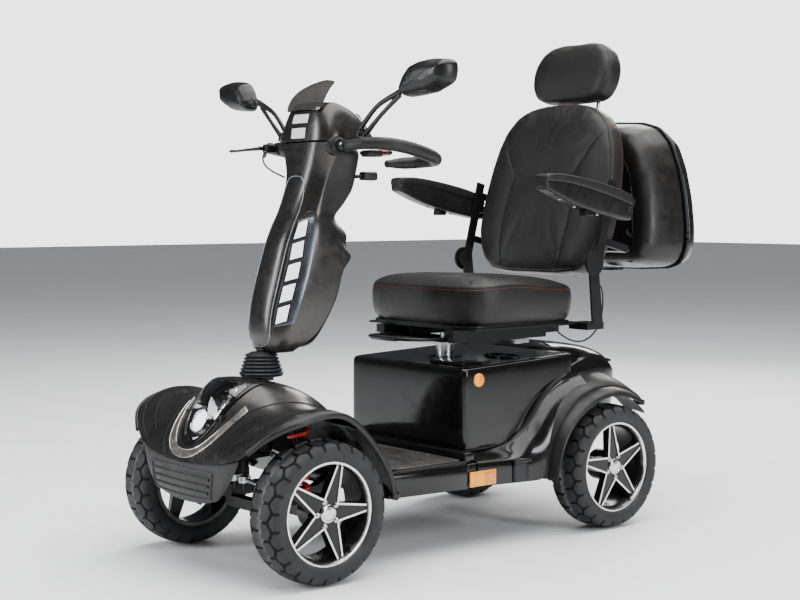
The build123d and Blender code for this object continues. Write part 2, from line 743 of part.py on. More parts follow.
# ---------------------------------------------------------------------------
# Tiller
# ---------------------------------------------------------------------------
tiller_sections = [
    (556.0, -600.0, -462.0, 62.0, 26.0),
    (650.0, -614.0, -412.0, 92.0, 30.0),
    (765.0, -585.0, -378.0, 98.0, 30.0),
    (850.0, -558.0, -378.0, 94.0, 30.0),
    (915.0, -524.0, -392.0, 84.0, 34.0),
    (1015.0, -486.0, -362.0, 78.0, 38.0),
    (1100.0, -480.0, -332.0, 112.0, 34.0),
    (1150.0, -474.0, -318.0, 106.0, 34.0),
    (1206.0, -452.0, -384.0, 78.0, 24.0),
]
tiller_shift = stem_y + 600.0
bar_z = 1090.0
bar_y = stem_y + 166.0
mirror_pin_radius = 5.0
throttle_x = 120.0
throttle_y = bar_y + 86.0
throttle_z = 1068.0
throttle_pin_radius = 4.0
tilt_lever_x = 50.0
tilt_lever_y = bar_y + 90.0
tilt_lever_z = 1012.0
lever_pin_radius = 3.0


def tiller_solid(inset):
    rows = [(z, y0 + tiller_shift, y1 + tiller_shift, w, c) for z, y0, y1, w, c in tiller_sections]
    if inset > 0:
        rows[0] = (rows[0][0] + inset,) + rows[0][1:]
        rows[-1] = (rows[-1][0] - inset,) + rows[-1][1:]
    return upright_loft(rows, inset)


def seam_half(front, gap):
    """Everything in front of (or behind) the seam between the two tiller covers."""
    shift = -gap if front else gap
    edge = [(stem_y + 120 + shift, 540), (stem_y + 128 + shift, 850), (stem_y + 166 + shift, 1100),
            (stem_y + 180 + shift, 1260)]
    reach = stem_y - 100 if front else stem_y + 400
    points = edge + [(reach, 1260), (reach, 540)]
    return yz_prism(points, -200, 200)


def tiller_shell():
    body = tiller_solid(0.0) - tiller_solid(3.5)
    body = body - block(-34, 34, stem_y - 40, stem_y + 66, 540, 566)
    for side in (-1, 1):
        body = body - x_rod(side * 60, side * 140, bar_y, bar_z, handlebar_radius + 0.5)
    return body


def tiller_front_cover():
    """Front half of the tiller housing."""
    return (tiller_shell() & seam_half(True, 0.1)).solids().sort_by(SortBy.VOLUME)[-1]


def tiller_rear_cover():
    """Rear half of the tiller housing with the bag hook."""
    body = tiller_shell() & seam_half(False, 0.1)
    hook = yz_prism([
        (stem_y + 205, 742), (stem_y + 256, 782), (stem_y + 246, 812), (stem_y + 228, 806),
        (stem_y + 232, 786), (stem_y + 205, 772),
    ], -10, 10)
    hook = hook + block(-10, 10, stem_y + 200, stem_y + 222, 745, 800)
    boss = block(96, throttle_x + 9, throttle_y - 12, throttle_y + 12, throttle_z - 9, throttle_z - 1)
    boss = boss + z_rod(throttle_x, throttle_y, throttle_z - 4, throttle_z + 13, throttle_pin_radius)
    low = tilt_lever_y
    for side in (-1, 1):
        x = tilt_lever_x + side * 9.0
        ear = block(x - 3, x + 3, low - 34, low + 5, tilt_lever_z - 8, tilt_lever_z + 8)
        boss = boss + ear
    boss = boss + x_rod(tilt_lever_x - 9, tilt_lever_x + 9, low, tilt_lever_z, 3.0)
    boss = boss - tiller_solid(3.5)
    return (body + hook + boss).solids().sort_by(SortBy.VOLUME)[-1]


def tiller_column():
    """Inner steel column from the tilt pivot to the handlebar, with its pivot lug."""
    low = (0, stem_y + 26, tilt_z + 34)
    high = (0, bar_y, bar_z - 16)
    column = rod(low, high, 17.0) - rod((0, stem_y + 34, tilt_z + 60), high, 13.0)
    lug = x_rod(-21.5, 21.5, stem_y, tilt_z, 15.0)
    lug = lug + block(-14, 14, stem_y - 6, stem_y + 26, tilt_z, tilt_z + 38)
    saddle = block(-30, 30, bar_y - 20, bar_y + 20, bar_z - 30, bar_z - handlebar_radius)
    body = column + lug + saddle
    return body - x_rod(-40, 40, stem_y, tilt_z, 7.0 + running_gap)


clamp_x = 164.0


def bar_clamp(side):
    """Clamp on the bar with a threaded boss for the mirror."""
    x = side * clamp_x
    clamp = x_rod(x - 12, x + 12, bar_y, bar_z, handlebar_radius + 8)
    clamp = clamp + block(x - 9, x + 9, bar_y - 9, bar_y + 9, bar_z, bar_z + 34)
    clamp = clamp - z_rod(x, bar_y, bar_z + 20, bar_z + 40, mirror_pin_radius + running_gap)
    return clamp


def handlebar():
    """Bar across the head with a hand loop, a clamp and a collar at each side."""
    bar = x_rod(-180, 180, bar_y, bar_z, handlebar_radius)
    loop_points = [
        (178, bar_y, bar_z), (218, bar_y + 16, bar_z + 4), (250, bar_y + 110, bar_z - 6),
        (252, bar_y + 214, bar_z - 26), (212, bar_y + 254, bar_z - 34),
        (150, bar_y + 236, bar_z - 40), (116, bar_y + 160, bar_z - 44),
    ]
    path = FilletPolyline(*loop_points, radius=[30, 44, 44, 26, 34])
    section = Plane(origin=loop_points[0], z_dir=path % 0) * Circle(handlebar_radius - 0.5)
    side = sweep(section, path=path)
    side = side + Location(loop_points[-1]) * Sphere(handlebar_radius - 0.5)
    side = side.solids().sort_by(SortBy.VOLUME)[-1]
    collar = x_rod(122, 140, bar_y, bar_z, handlebar_radius + 7)
    whole = bar + both_sides(side) + both_sides(collar)
    right = bar_clamp(-1) + block(-173, -155, bar_y - 48, bar_y - 14, bar_z - 8, bar_z + 8)
    right = right - block(-180, -140, bar_y - 50, bar_y - 27, bar_z - 3.4, bar_z + 3.4)
    right = right + z_rod(-clamp_x, bar_y - 38, bar_z - 8, bar_z + 8, lever_pin_radius)
    left = bar_clamp(1) + block(155, 186, bar_y - 16, bar_y + 22, bar_z - 46, bar_z - 8)
    hollow = x_rod(-190, 190, bar_y, bar_z, handlebar_radius)
    return solids_of(whole, right - hollow, left - hollow)


def windscreen():
    """Small smoked screen above the head."""
    base_y = stem_y + 128.0
    band = [(base_y, 1172), (base_y + 44, 1226), (base_y + 118, 1274), (base_y + 122, 1270),
            (base_y + 48, 1220), (base_y + 5, 1166)]
    plan = xz_prism([(-84, 1160), (84, 1160), (74, 1220), (40, 1276), (-40, 1276), (-74, 1220)],
                    base_y - 20, base_y + 160)
    screen = yz_prism(band, -90, 90) & plan
    return screen - tiller_solid(0.0)


lamp_count = 5


def tiller_lamps():
    """Five white light windows down each side of the tiller."""
    pieces = []
    body = tiller_solid(0.0)
    proud = upright_loft([(z, y0 + tiller_shift - 3, y1 + tiller_shift + 3, w + 3, c + 3)
                          for z, y0, y1, w, c in tiller_sections], 0.0)
    skin = proud - body
    for k in range(lamp_count):
        z = 652 + 50 * k
        y = stem_y - 4 + 23.0 * k
        window = yz_prism([(y - 14, z), (y + 12, z + 2), (y + 24, z + 42), (y - 2, z + 40)], 40, 140)
        cut = window & skin
        piece = cut.solids().sort_by(SortBy.VOLUME)[-1]
        pieces.append(piece)
        pieces.append(flipped(piece))
    return solids_of(*pieces)


def dash_panel():
    """Instrument panel on the rider's side of the head, with the display and buttons."""
    panel = block(-88, 88, -6, 6, -44, 44)
    screen = block(-40, 40, 6, 9, -16, 24)
    buttons = [Location((x, 6, -30)) * Cylinder(7, 4, align=(Align.CENTER, Align.CENTER, Align.MIN),
                                                rotation=(-90, 0, 0)) for x in (-68, -44, 44, 68)]
    body = panel + screen
    for button in buttons:
        body = body + button
    place = Location((0, stem_y + 288, 1146), (-32, 0, 0))
    body = body.moved(place)
    return (body - tiller_solid(0.0)).solids().sort_by(SortBy.VOLUME)[-1]


def brake_lever():
    """Hand lever that turns on the perch's pin."""
    pivot_y = bar_y - 38.0
    lever = xy_prism([
        (-170, pivot_y - 6), (-158, pivot_y - 8), (-156, pivot_y + 6), (-172, pivot_y + 8),
    ], bar_z - 3, bar_z + 3)
    lever = lever + xy_prism([
        (-168, pivot_y + 5), (-168, pivot_y - 7), (-260, pivot_y - 22), (-330, pivot_y - 12),
        (-336, pivot_y - 4), (-330, pivot_y + 2), (-258, pivot_y - 9),
    ], bar_z - 3, bar_z + 3)
    return lever - z_rod(-clamp_x, pivot_y, bar_z - 10, bar_z + 10, lever_pin_radius + running_gap)


def mirror_unit(side):
    """Mirror head on a forked stem that turns in the boss of the bar clamp."""
    base_z = bar_z + 34.4
    low = (clamp_x, bar_y, base_z + 8)
    knee = (318, bar_y + 62, 1236)
    body = z_rod(clamp_x, bar_y, bar_z + 22, base_z + 8, mirror_pin_radius)
    body = body + z_rod(clamp_x, bar_y, base_z, base_z + 12, 10.0)
    body = body + rod((low[0], low[1], low[2] - 2), knee, 5.0)
    body = body + rod((low[0] + 8, low[1], low[2] - 2), (knee[0] + 22, knee[1], knee[2] - 18), 5.0)
    head = xz_prism([(326, 1222), (336, 1258), (384, 1298), (498, 1296), (506, 1266), (452, 1214),
                     (372, 1204)], bar_y + 50, bar_y + 88)
    body = body + head
    return body if side > 0 else flipped(body)


def throttle_lever():
    """Thumb lever under the left bar, on a pin of the rear cover."""
    blade = xy_prism([
        (throttle_x, throttle_y - 9), (196, throttle_y - 34), (204, throttle_y - 8),
        (196, throttle_y + 26), (throttle_x, throttle_y + 9),
    ], throttle_z, throttle_z + 10)
    blade = blade + z_rod(throttle_x, throttle_y, throttle_z, throttle_z + 10, 9.0)
    return blade - z_rod(throttle_x, throttle_y, throttle_z - 5, throttle_z + 20,
                         throttle_pin_radius + running_gap)


def tilt_lever():
    """Stalk with a square pad that frees the tiller's tilt."""
    low = (tilt_lever_x, tilt_lever_y, tilt_lever_z)
    high = (tilt_lever_x, tilt_lever_y + 44, tilt_lever_z + 2)
    body = rod(low, high, 3.5) + x_rod(tilt_lever_x - 5, tilt_lever_x + 5, low[1], low[2], 7.0)
    body = body + block(tilt_lever_x - 15, tilt_lever_x + 15, high[1] - 4, high[1] + 46,
                        high[2] - 13, high[2] + 13)
    return body - x_rod(tilt_lever_x - 10, tilt_lever_x + 10, low[1], low[2], 3.0 + running_gap)


def tube_along(points, radius):
    """Cable through the points: straight runs joined by the largest arcs that fit."""
    route = [Vector(*p) for p in points]
    radii = []
    for before, here, after in zip(route, route[1:], route[2:]):
        run_in = here - before
        run_out = after - here
        half_turn = math.radians(run_in.get_angle(run_out)) / 2.0
        radii.append(0.45 * min(run_in.length, run_out.length) / math.tan(half_turn))
    path = FilletPolyline(*route, radius=radii)
    section = Plane(origin=route[0], z_dir=path % 0) * Circle(radius)
    return sweep(section, path=path)


brake_cable_points = [
    (-156, -480, 1080), (-151, -488, 1068), (-141, -494, 1054), (-126, -495, 1040),
    (-108, -489, 1028), (-92, -478, 1018), (-80, -465, 1010),
]
seat_cable_points = [
    (267.0, 404, 706), (259, 424, 702), (252, 440, 684), (247, 449, 650), (242, 450, 612),
    (235, 441, 576), (226, 421, 548), (215, 394, 534), (203, 362, 538), (193, 334, 554),
    (187, 312, 572), (185, 300, 588),
]


def brake_cable():
    """Cable from the brake lever's clamp down into the tiller's front cover."""
    return tube_along(brake_cable_points, 2.5)


def seat_cable():
    """Thin lead that hangs from the left recliner plate back to the seat pan."""
    return tube_along(seat_cable_points, 2.5)


# ---------------------------------------------------------------------------
# Seat
# ---------------------------------------------------------------------------
post_low = 300.0
post_top = 540.0


def seat_post():
    """Round post that slides in the frame's socket, with the swivel plate on top."""
    body = z_rod(0, post_y, post_low, post_top, post_radius)
    body = body + block(-70, 70, post_y - 70, post_y + 70, post_top, post_top + 6)
    return body + z_rod(0, post_y, post_top, post_top + 28, 14.0)


rail_z = 552.0
rail_x = 150.0
lever_x = 112.0
lever_z = rail_z + 7.5
lever_pivot_y = post_y - 40.0
lever_pivot_radius = 2.5
lever_eye_radius = 6.5


def seat_swivel():
    """Turning plate with the two lower slide rails."""
    body = block(-rail_x - 14, rail_x + 14, post_y - 60, post_y + 60, post_top + 6.4, post_top + 12)
    body = body - z_rod(0, post_y, post_top, post_top + 30, 14.0 + running_gap)
    for side in (-1, 1):
        x = side * rail_x
        body = body + block(x - 14, x + 14, post_y - 110, post_y + 250, post_top + 12, rail_z + 12)
    return body


def seat_base():
    """Seat pan with the upper slide rails and the rear receiver tube."""
    low = rail_z + 12.4
    body = block(-232, 232, post_y - 96, recliner_y + 10, low + 24, low + 30)
    for side in (-1, 1):
        x = side * rail_x
        rail = block(x - 18, x + 18, post_y - 120, post_y + 300, low, low + 24)
        body = body + rail
        x = side * (lever_x - 14.0)
        body = body + block(x - 3, x + 3, lever_pivot_y - 8, lever_pivot_y + 8, lever_z - 4, low + 26)
        body = body + x_rod(x, side * (lever_x + 7), lever_pivot_y, lever_z, lever_pivot_radius)
    body = body + block(-20, 20, post_y + 300, post_y + 362, low - 1, low + 26)
    body = body - block(-15, 15, post_y + 250, post_y + 370, low + 4, low + 21)
    for side in (-1, 1):
        x = side * (cushion_half_width + 20.0)
        arm = block(min(side * 200, x + side * 4), max(side * 200, x + side * 4), recliner_y - 20,
                    recliner_y + 50, low + 10, low + 30)
        ear = yz_prism([
            (recliner_y - 12, recliner_z), (recliner_y + 26, recliner_z), (recliner_y + 50, low + 10),
            (recliner_y + 6, low + 10),
        ], min(x - 3, x + 3), max(x - 3, x + 3))
        ear = ear + x_rod(x - 3, x + 3, recliner_y, recliner_z, 26.0)
        body = body + arm + ear
        body = body + x_rod(x, x + side * 14, recliner_y, recliner_z, 7.0)
    return body


def seat_cushion():
    """Upholstered seat cushion, plain here."""
    low = rail_z + 12.4 + 30.2
    front = post_y - 115
    body = block(-cushion_half_width, cushion_half_width, front, recliner_y - 8, low, 730)
    body = fillet(body.edges().filter_by(Axis.Z), 55)
    return fillet(body.edges().group_by(Axis.Z)[-1], 28)


def seat_lever():
    """U-shaped bar under the front of the seat that frees the slide."""
    low = lever_z
    x = lever_x
    start = lever_pivot_y - 4.0
    front = post_y - 232.0
    points = [(-x, start, low), (-x, front + 40, low + 6), (-x + 40, front, low + 8),
              (x - 40, front, low + 8), (x, front + 40, low + 6), (x, start, low)]
    path = FilletPolyline(*points, radius=[60, 24, 24, 60])
    section = Plane(origin=points[0], z_dir=path % 0) * Circle(5.0)
    body = sweep(section, path=path)
    for side in (-1, 1):
        eye = x_rod(side * x - 6, side * x + 6, lever_pivot_y, low, lever_eye_radius)
        hole_radius = lever_pivot_radius + running_gap
        body = body + eye - x_rod(side * x - 9, side * x + 9, lever_pivot_y, low, hole_radius)
    return body


back_x = cushion_half_width + 28.0
lean = 14.0


def lean_place(local_y, local_z):
    """Point of the leaning back from its height above the recliner and its distance behind."""
    a = math.radians(lean)
    y = recliner_y + local_y * math.cos(a) + local_z * math.sin(a)
    z = recliner_z - local_y * math.sin(a) + local_z * math.cos(a)
    return y, z


def lean_block(x0, x1, y0, y1, z0, z1):
    body = block(x0, x1, y0, y1, z0, z1)
    return body.moved(Location((0, recliner_y, recliner_z), (-lean, 0, 0)))


def back_frame():
    """Reclining plates, side uprights and the cross tubes behind the backrest."""
    body = None
    for side in (-1, 1):
        x0 = back_x if side > 0 else -back_x - 6
        plate_x = lean_block(x0, x0 + 6, 0, 30, -10, 250)
        disc = x_rod(x0, x0 + 6, recliner_y, recliner_z, 36.0)
        upright = plate_x + disc
        body = upright if body is None else body + upright
    for z0 in (60, 200):
        body = body + lean_block(-back_x, back_x, 104, 126, z0, z0 + 22)
    for side in (-1, 1):
        x0 = back_x if side > 0 else -back_x - 6
        for z0 in (60, 200):
            body = body + lean_block(x0, x0 + 6, 0, 126, z0, z0 + 22)
        inner = 120.0 if side > 0 else -142.0
        body = body + lean_block(inner, inner + 22, 104, 126, 40, 430)
        body = body + lean_block(inner, inner + 22, 126, 190, 60, 82)
        body = body + lean_block(inner, inner + 22, 126, 190, 200, 222)
    for side in (-1, 1):
        x0 = back_x if side > 0 else -back_x - 6
        body = body - x_rod(x0 - 10, x0 + 20, recliner_y, recliner_z, 7.0 + running_gap)
    front = case_front_y - 0.3
    slant = [(front, case_low - 200), (front, case_low - 20), (front + 118, case_top + 20),
             (front + 400, case_top + 20), (front + 400, case_low - 200)]
    body = body - yz_prism(slant, -400, 400)
    for side in (-1, 1):
        y, z = lean_place(40, 190)
        x0 = side * (back_x + 5)
        body = body + x_rod(x0, x0 + side * (armrest_width - 12), arm_pivot_y, arm_pivot_z, 7.0)
        body = body + yz_prism([
            (y - 40, z - 12), (y - 40, z + 10), (arm_pivot_y, arm_pivot_z + 16),
            (arm_pivot_y + 16, arm_pivot_z), (arm_pivot_y, arm_pivot_z - 16),
        ], min(x0 - side * 5, x0 + side * 1), max(x0 - side * 5, x0 + side * 1))
    return body


arm_pivot_y = recliner_y + 75.0
arm_pivot_z = 928.0


def backrest():
    """Upholstered backrest, plain here."""
    body = lean_block(-cushion_half_width, cushion_half_width, 2, 100, -24, 486)
    long_edges = body.edges().filter_by(lambda e: abs((e % 0.5).X) < 0.01 and abs((e % 0.5).Z) < 0.6)
    return fillet(long_edges, 60)


def headrest():
    """Padded headrest with its two posts."""
    pad = lean_block(-168, 168, 30, 116, 524, 700)
    pad = fillet(pad.edges().filter_by(lambda e: abs((e % 0.5).X) < 0.01 and abs((e % 0.5).Z) < 0.6), 50)
    pieces = [pad]
    for side in (-1, 1):
        post = lean_block(side * 80 - 6, side * 80 + 6, 108, 120, 330, 560)
        pieces.append(post)
    body = pieces[0] + pieces[1] + pieces[2]
    return body


def armrest(side):
    """Wedge-shaped armrest with its pad, turning on the pivot at its rear."""
    x0 = back_x + 7.0
    x1 = x0 + armrest_width
    profile = [
        (arm_pivot_y + 24, 966), (arm_pivot_y + 34, 930), (arm_pivot_y + 20, 888),
        (arm_pivot_y - 140, 920), (arm_pivot_y - 326, 974), (arm_pivot_y - 334, 1000),
        (arm_pivot_y - 322, 1024), (arm_pivot_y - 160, 1000),
    ]
    body = yz_prism(profile, x0, x1)
    body = body - x_rod(x0 - 5, x1 - 8, arm_pivot_y, arm_pivot_z, 7.0 + running_gap)
    return body if side > 0 else flipped(body)


# ---------------------------------------------------------------------------
# Top case
# ---------------------------------------------------------------------------
case_front_y = rear_axle_y + 178.0
case_seam_y = rear_axle_y + 380.0
case_back_y = rear_axle_y + 453.0
case_low = 748.0
case_top = 1192.0
hinge_z = case_low - 6.0
hinge_pin_radius = 3.0
hinge_radius = 5.5
hinge_x = 150.0


def case_solid(inset):
    """Whole outer form of the case, front to back."""
    def face(y, half, low, top):
        width = 2 * (half - inset)
        height = top - low - 2 * inset
        plane = Plane(origin=(0, y, (low + top) / 2), x_dir=(1, 0, 0), z_dir=(0, -1, 0))
        return (plane * RectangleRounded(width, height, max(56 - inset, 5))).face()
    faces = [
        face(case_front_y + inset, 250, case_low + 20, case_top - 60),
        face(case_front_y + 100, 286, case_low, case_top - 14),
        face(case_seam_y, case_half_width, case_low, case_top),
        face(case_seam_y + 50, 284, case_low + 22, case_top - 30),
        face(case_back_y - inset, 240, case_low + 60, case_top - 84),
    ]
    whole = loft(faces, ruled=True)
    front = case_front_y + inset
    slant = [(front, case_low - 20), (front + 118, case_top + 20), (front + 400, case_top + 20),
             (front + 400, case_low - 20)]
    return whole & yz_prism(slant, -400, 400)


def case_body():
    """Front shell of the case, open to the rear, on a bracket plate."""
    shell = case_solid(0.0) - case_solid(4.0)
    keep = block(-400, 400, case_front_y - 50, case_seam_y - 0.2, 600, 1300)
    body = (shell & keep).solids().sort_by(SortBy.VOLUME)[-1]
    for side in (-1, 1):
        x = side * hinge_x
        for x0 in (x - 22, x + 14):
            knuckle_block = block(x0, x0 + 8, case_seam_y - 14, case_seam_y - 0.2, hinge_z, case_low + 3)
            body = body + x_rod(x0, x0 + 8, case_seam_y, hinge_z, hinge_radius) + knuckle_block
        body = body + x_rod(x - 20, x + 20, case_seam_y, hinge_z, hinge_pin_radius)
    return body


def case_lid():
    """Rear shell of the case, hinged along its lower edge."""
    shell = case_solid(0.0) - case_solid(4.0)
    keep = block(-400, 400, case_seam_y + 0.2, case_back_y + 50, 600, 1300)
    body = (shell & keep).solids().sort_by(SortBy.VOLUME)[-1]
    for side in (-1, 1):
        x = side * hinge_x
        leaf = block(x - 13.5, x + 13.5, case_seam_y + 0.2, case_seam_y + 14, hinge_z, case_low + 3)
        barrel = x_rod(x - 13.5, x + 13.5, case_seam_y, hinge_z, hinge_radius)
        hole = x_rod(x - 15, x + 15, case_seam_y, hinge_z, hinge_pin_radius + running_gap)
        body = body + (leaf + barrel - hole)
    return body


def main():
    os.makedirs("parts", exist_ok=True)
    corners = {"front": front_axle_y, "rear": rear_axle_y}
    for end, axle_y in corners.items():
        for word, side in (("left", 1), ("right", -1)):
            save(f"tyre_{end}_{word}", tyre(side, axle_y))
            save(f"rim_{end}_{word}", rim(side, axle_y))
    save("frame", frame())
    save("front_axle_beam", front_axle_beam())
    for word, side in (("left", 1), ("right", -1)):
        save(f"knuckle_{word}", knuckle(side))
        save(f"tie_rod_{word}", tie_rod(side))
        save(f"armrest_{word}", armrest(side))
        save(f"mirror_{word}", mirror_unit(side))
    save("steering_stem", steering_stem())
    save("rear_swing_arm", rear_swing_arm())
    save("transaxle", transaxle())
    front_coils = [coil(s * front_coil_x, front_coil_y, front_coil_low, front_coil_high)
                   for s in (-1, 1)]
    rear_coils = [coil(s * rear_coil_x, rear_coil_y, rear_coil_low, rear_coil_high) for s in (-1, 1)]
    save("front_springs", solids_of(*front_coils))
    save("rear_springs", solids_of(*rear_coils))
    dampers = [damper_body(s * front_coil_x, front_coil_y, front_coil_high) for s in (-1, 1)]
    dampers += [damper_body(s * rear_coil_x, rear_coil_y, rear_coil_high) for s in (-1, 1)]
    save("damper_bodies", solids_of(*dampers))
    save("floor_pan", floor_pan())
    save("floor_mat", floor_mat())
    save("front_fenders", front_fenders())
    save("front_cowl", front_cowl())
    save("headlamp_housing", headlamp_housing())
    save("headlamp_lens", headlamp_lens())
    save("nose_trim", nose_trim())
    save("front_bumper", front_bumper())
    save("steering_gaiter", gaiter())
    save("seat_box", seat_box())
    save("batteries", batteries())
    save("rear_fairing", rear_fairing())
    save("rear_fenders", rear_fenders())
    save("reflectors_and_lamps", reflectors())
    save("tiller_front_cover", tiller_front_cover())
    save("tiller_rear_cover", tiller_rear_cover())
    save("tiller_column", tiller_column())
    save("handlebar", handlebar())
    save("windscreen", windscreen())
    save("tiller_lamps", tiller_lamps())
    save("dash_panel", dash_panel())
    save("brake_lever", brake_lever())
    save("throttle_lever", throttle_lever())
    save("tilt_lever", tilt_lever())
    save("brake_cable", brake_cable())
    save("seat_cable", seat_cable())
    save("seat_post", seat_post())
    save("seat_swivel", seat_swivel())
    save("seat_base", seat_base())
    save("seat_cushion", seat_cushion())
    save("seat_lever", seat_lever())
    save("back_frame", back_frame())
    save("backrest", backrest())
    save("headrest", headrest())
    save("case_body", case_body())
    save("case_lid", case_lid())


if __name__ == "__main__":
    main()
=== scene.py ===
import json
import math
import bmesh
import bpy
import numpy as np
from mathutils import Matrix, Vector
from mathutils.bvhtree import BVHTree

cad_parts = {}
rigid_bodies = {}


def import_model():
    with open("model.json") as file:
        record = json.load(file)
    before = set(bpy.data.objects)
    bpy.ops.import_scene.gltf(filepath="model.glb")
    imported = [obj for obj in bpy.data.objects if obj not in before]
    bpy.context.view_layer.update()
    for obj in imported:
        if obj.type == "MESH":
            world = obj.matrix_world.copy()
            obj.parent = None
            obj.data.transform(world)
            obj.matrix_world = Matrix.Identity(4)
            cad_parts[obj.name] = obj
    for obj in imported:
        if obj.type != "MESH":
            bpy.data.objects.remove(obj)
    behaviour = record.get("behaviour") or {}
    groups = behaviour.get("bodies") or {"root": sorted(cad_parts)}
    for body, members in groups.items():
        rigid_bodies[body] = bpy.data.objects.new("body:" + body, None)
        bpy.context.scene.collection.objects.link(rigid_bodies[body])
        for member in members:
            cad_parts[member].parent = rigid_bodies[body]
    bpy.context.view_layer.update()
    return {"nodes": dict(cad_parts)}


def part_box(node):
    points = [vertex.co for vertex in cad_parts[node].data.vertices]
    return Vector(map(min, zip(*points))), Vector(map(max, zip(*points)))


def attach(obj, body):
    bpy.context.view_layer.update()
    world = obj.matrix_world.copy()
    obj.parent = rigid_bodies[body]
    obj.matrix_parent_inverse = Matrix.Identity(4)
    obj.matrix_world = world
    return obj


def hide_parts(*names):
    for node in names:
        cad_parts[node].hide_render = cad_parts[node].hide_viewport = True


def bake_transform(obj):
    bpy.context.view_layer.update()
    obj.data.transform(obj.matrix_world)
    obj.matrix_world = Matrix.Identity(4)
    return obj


for leftover in list(bpy.data.objects):
    bpy.data.objects.remove(leftover)
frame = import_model()
scene = bpy.context.scene
nodes = frame["nodes"]
MM = 0.001
SIDES = (1, -1)
WORDS = {1: "left", -1: "right"}


# --------------------------------------------------------------------------
# Camera and the two short leads
# --------------------------------------------------------------------------
FOCAL_LENGTH, SENSOR_WIDTH = 66.17, 36.0
CAMERA_SPOT = (3.1853, -2.7875, 0.9253)
CAMERA_PITCH, CAMERA_HEADING = 90 - 3.547, 50.114


def set_camera():
    """Camera off the front left wheel, a little above the seat, looking slightly down."""
    lens = bpy.data.cameras.new("camera")
    lens.lens = FOCAL_LENGTH
    lens.sensor_width = SENSOR_WIDTH
    camera = bpy.data.objects.new("camera", lens)
    camera.location = CAMERA_SPOT
    camera.rotation_euler = (math.radians(CAMERA_PITCH), 0.0, math.radians(CAMERA_HEADING))
    scene.collection.objects.link(camera)
    scene.camera = camera


def link(obj):
    scene.collection.objects.link(obj)
    return obj


def curve_line(name, points, radius, cyclic=False, order=4, kind="NURBS"):
    """Round bar or lead along a smooth line through control points in millimetres."""
    data = bpy.data.curves.new(name, "CURVE")
    data.dimensions = "3D"
    data.bevel_depth = radius * MM
    data.bevel_resolution = 5
    data.resolution_u = 10
    data.use_fill_caps = True
    spline = data.splines.new(kind)
    spline.points.add(len(points) - 1)
    for slot_point, point in zip(spline.points, points):
        slot_point.co = (point[0] * MM, point[1] * MM, point[2] * MM, 1.0)
    spline.use_cyclic_u = cyclic
    if kind == "NURBS":
        spline.order_u = order
        spline.use_endpoint_u = not cyclic
    return link(bpy.data.objects.new(name, data))


def ride(obj, body, replaces=()):
    """Give a finished piece its body, and hide the CAD nodes it stands for."""
    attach(obj, body)
    if replaces:
        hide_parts(*replaces)
    return obj


set_camera()


# --------------------------------------------------------------------------
# Shader groups
# --------------------------------------------------------------------------
def put(tree, kind, inputs=None, **settings):
    """Add a node, with its settings and its inputs as sockets or values."""
    node = tree.nodes.new(kind)
    for key, value in settings.items():
        setattr(node, key, value)
    for key, value in (inputs or {}).items():
        if isinstance(value, bpy.types.NodeSocket):
            tree.links.new(value, node.inputs[key])
        else:
            node.inputs[key].default_value = value
    return node


def start_group(name, inputs, outputs):
    group = bpy.data.node_groups.new(name, "ShaderNodeTree")
    for label, value in inputs.items():
        socket = group.interface.new_socket(label, in_out="INPUT", socket_type="NodeSocketFloat")
        socket.default_value = value
    for label in outputs:
        group.interface.new_socket(label, in_out="OUTPUT", socket_type="NodeSocketFloat")
    return group, group.nodes.new("NodeGroupInput"), group.nodes.new("NodeGroupOutput")


def ramp(tree, value, low, high):
    return put(tree, "ShaderNodeMapRange", {"Value": value, "From Min": low, "From Max": high},
        interpolation_type="SMOOTHSTEP").outputs["Result"]


def times(tree, a, b):
    return put(tree, "ShaderNodeMath", {0: a, 1: b}, operation="MULTIPLY").outputs[0]


def patina_group():
    """Slow changes of tone and hand smudges."""
    group, into, out = start_group("patina", {"Size": 9.0}, ("Tone", "Smudge"))
    place = put(group, "ShaderNodeTexCoord").outputs["Object"]
    tone = put(group, "ShaderNodeTexNoise", {"Vector": place, "Scale": into.outputs["Size"], "Detail": 3.0})
    finer = put(group, "ShaderNodeMath", {0: into.outputs["Size"], 1: 3.7}, operation="MULTIPLY")
    smudge = put(group, "ShaderNodeTexNoise", {"Vector": place, "Scale": finer.outputs[0], "Detail": 5.0,
            "Distortion": 0.8})
    group.links.new(ramp(group, tone.outputs["Fac"], 0.3, 0.7), out.inputs["Tone"])
    group.links.new(ramp(group, smudge.outputs["Fac"], 0.32, 0.68), out.inputs["Smudge"])
    return group


def worn_edge_group():
    """Rubbed outer edges, broken up by noise."""
    group, into, out = start_group("worn edge", {"Sharpness": 0.53}, ("Mask",))
    point = put(group, "ShaderNodeNewGeometry").outputs["Pointiness"]
    upper = put(group, "ShaderNodeMath", {0: into.outputs["Sharpness"], 1: 0.08}, operation="ADD").outputs[0]
    edge = ramp(group, point, into.outputs["Sharpness"], upper)
    place = put(group, "ShaderNodeTexCoord").outputs["Object"]
    noise = put(group, "ShaderNodeTexNoise", {"Vector": place, "Scale": 60.0, "Detail": 4.0})
    rubbed = times(group, edge, ramp(group, noise.outputs["Fac"], 0.35, 0.65))
    group.links.new(rubbed, out.inputs["Mask"])
    return group


def dust_group():
    """Dust on what faces up."""
    group, into, out = start_group("settled dust", {"Amount": 0.2}, ("Mask",))
    normal = put(group, "ShaderNodeNewGeometry").outputs["Normal"]
    up = put(group, "ShaderNodeSeparateXYZ", {0: normal}).outputs["Z"]
    place = put(group, "ShaderNodeTexCoord").outputs["Object"]
    noise = put(group, "ShaderNodeTexNoise", {"Vector": place, "Scale": 26.0, "Detail": 6.0})
    lying = times(group, ramp(group, up, 0.2, 1.0), ramp(group, noise.outputs["Fac"], 0.35, 0.75))
    group.links.new(times(group, lying, into.outputs["Amount"]), out.inputs["Mask"])
    return group


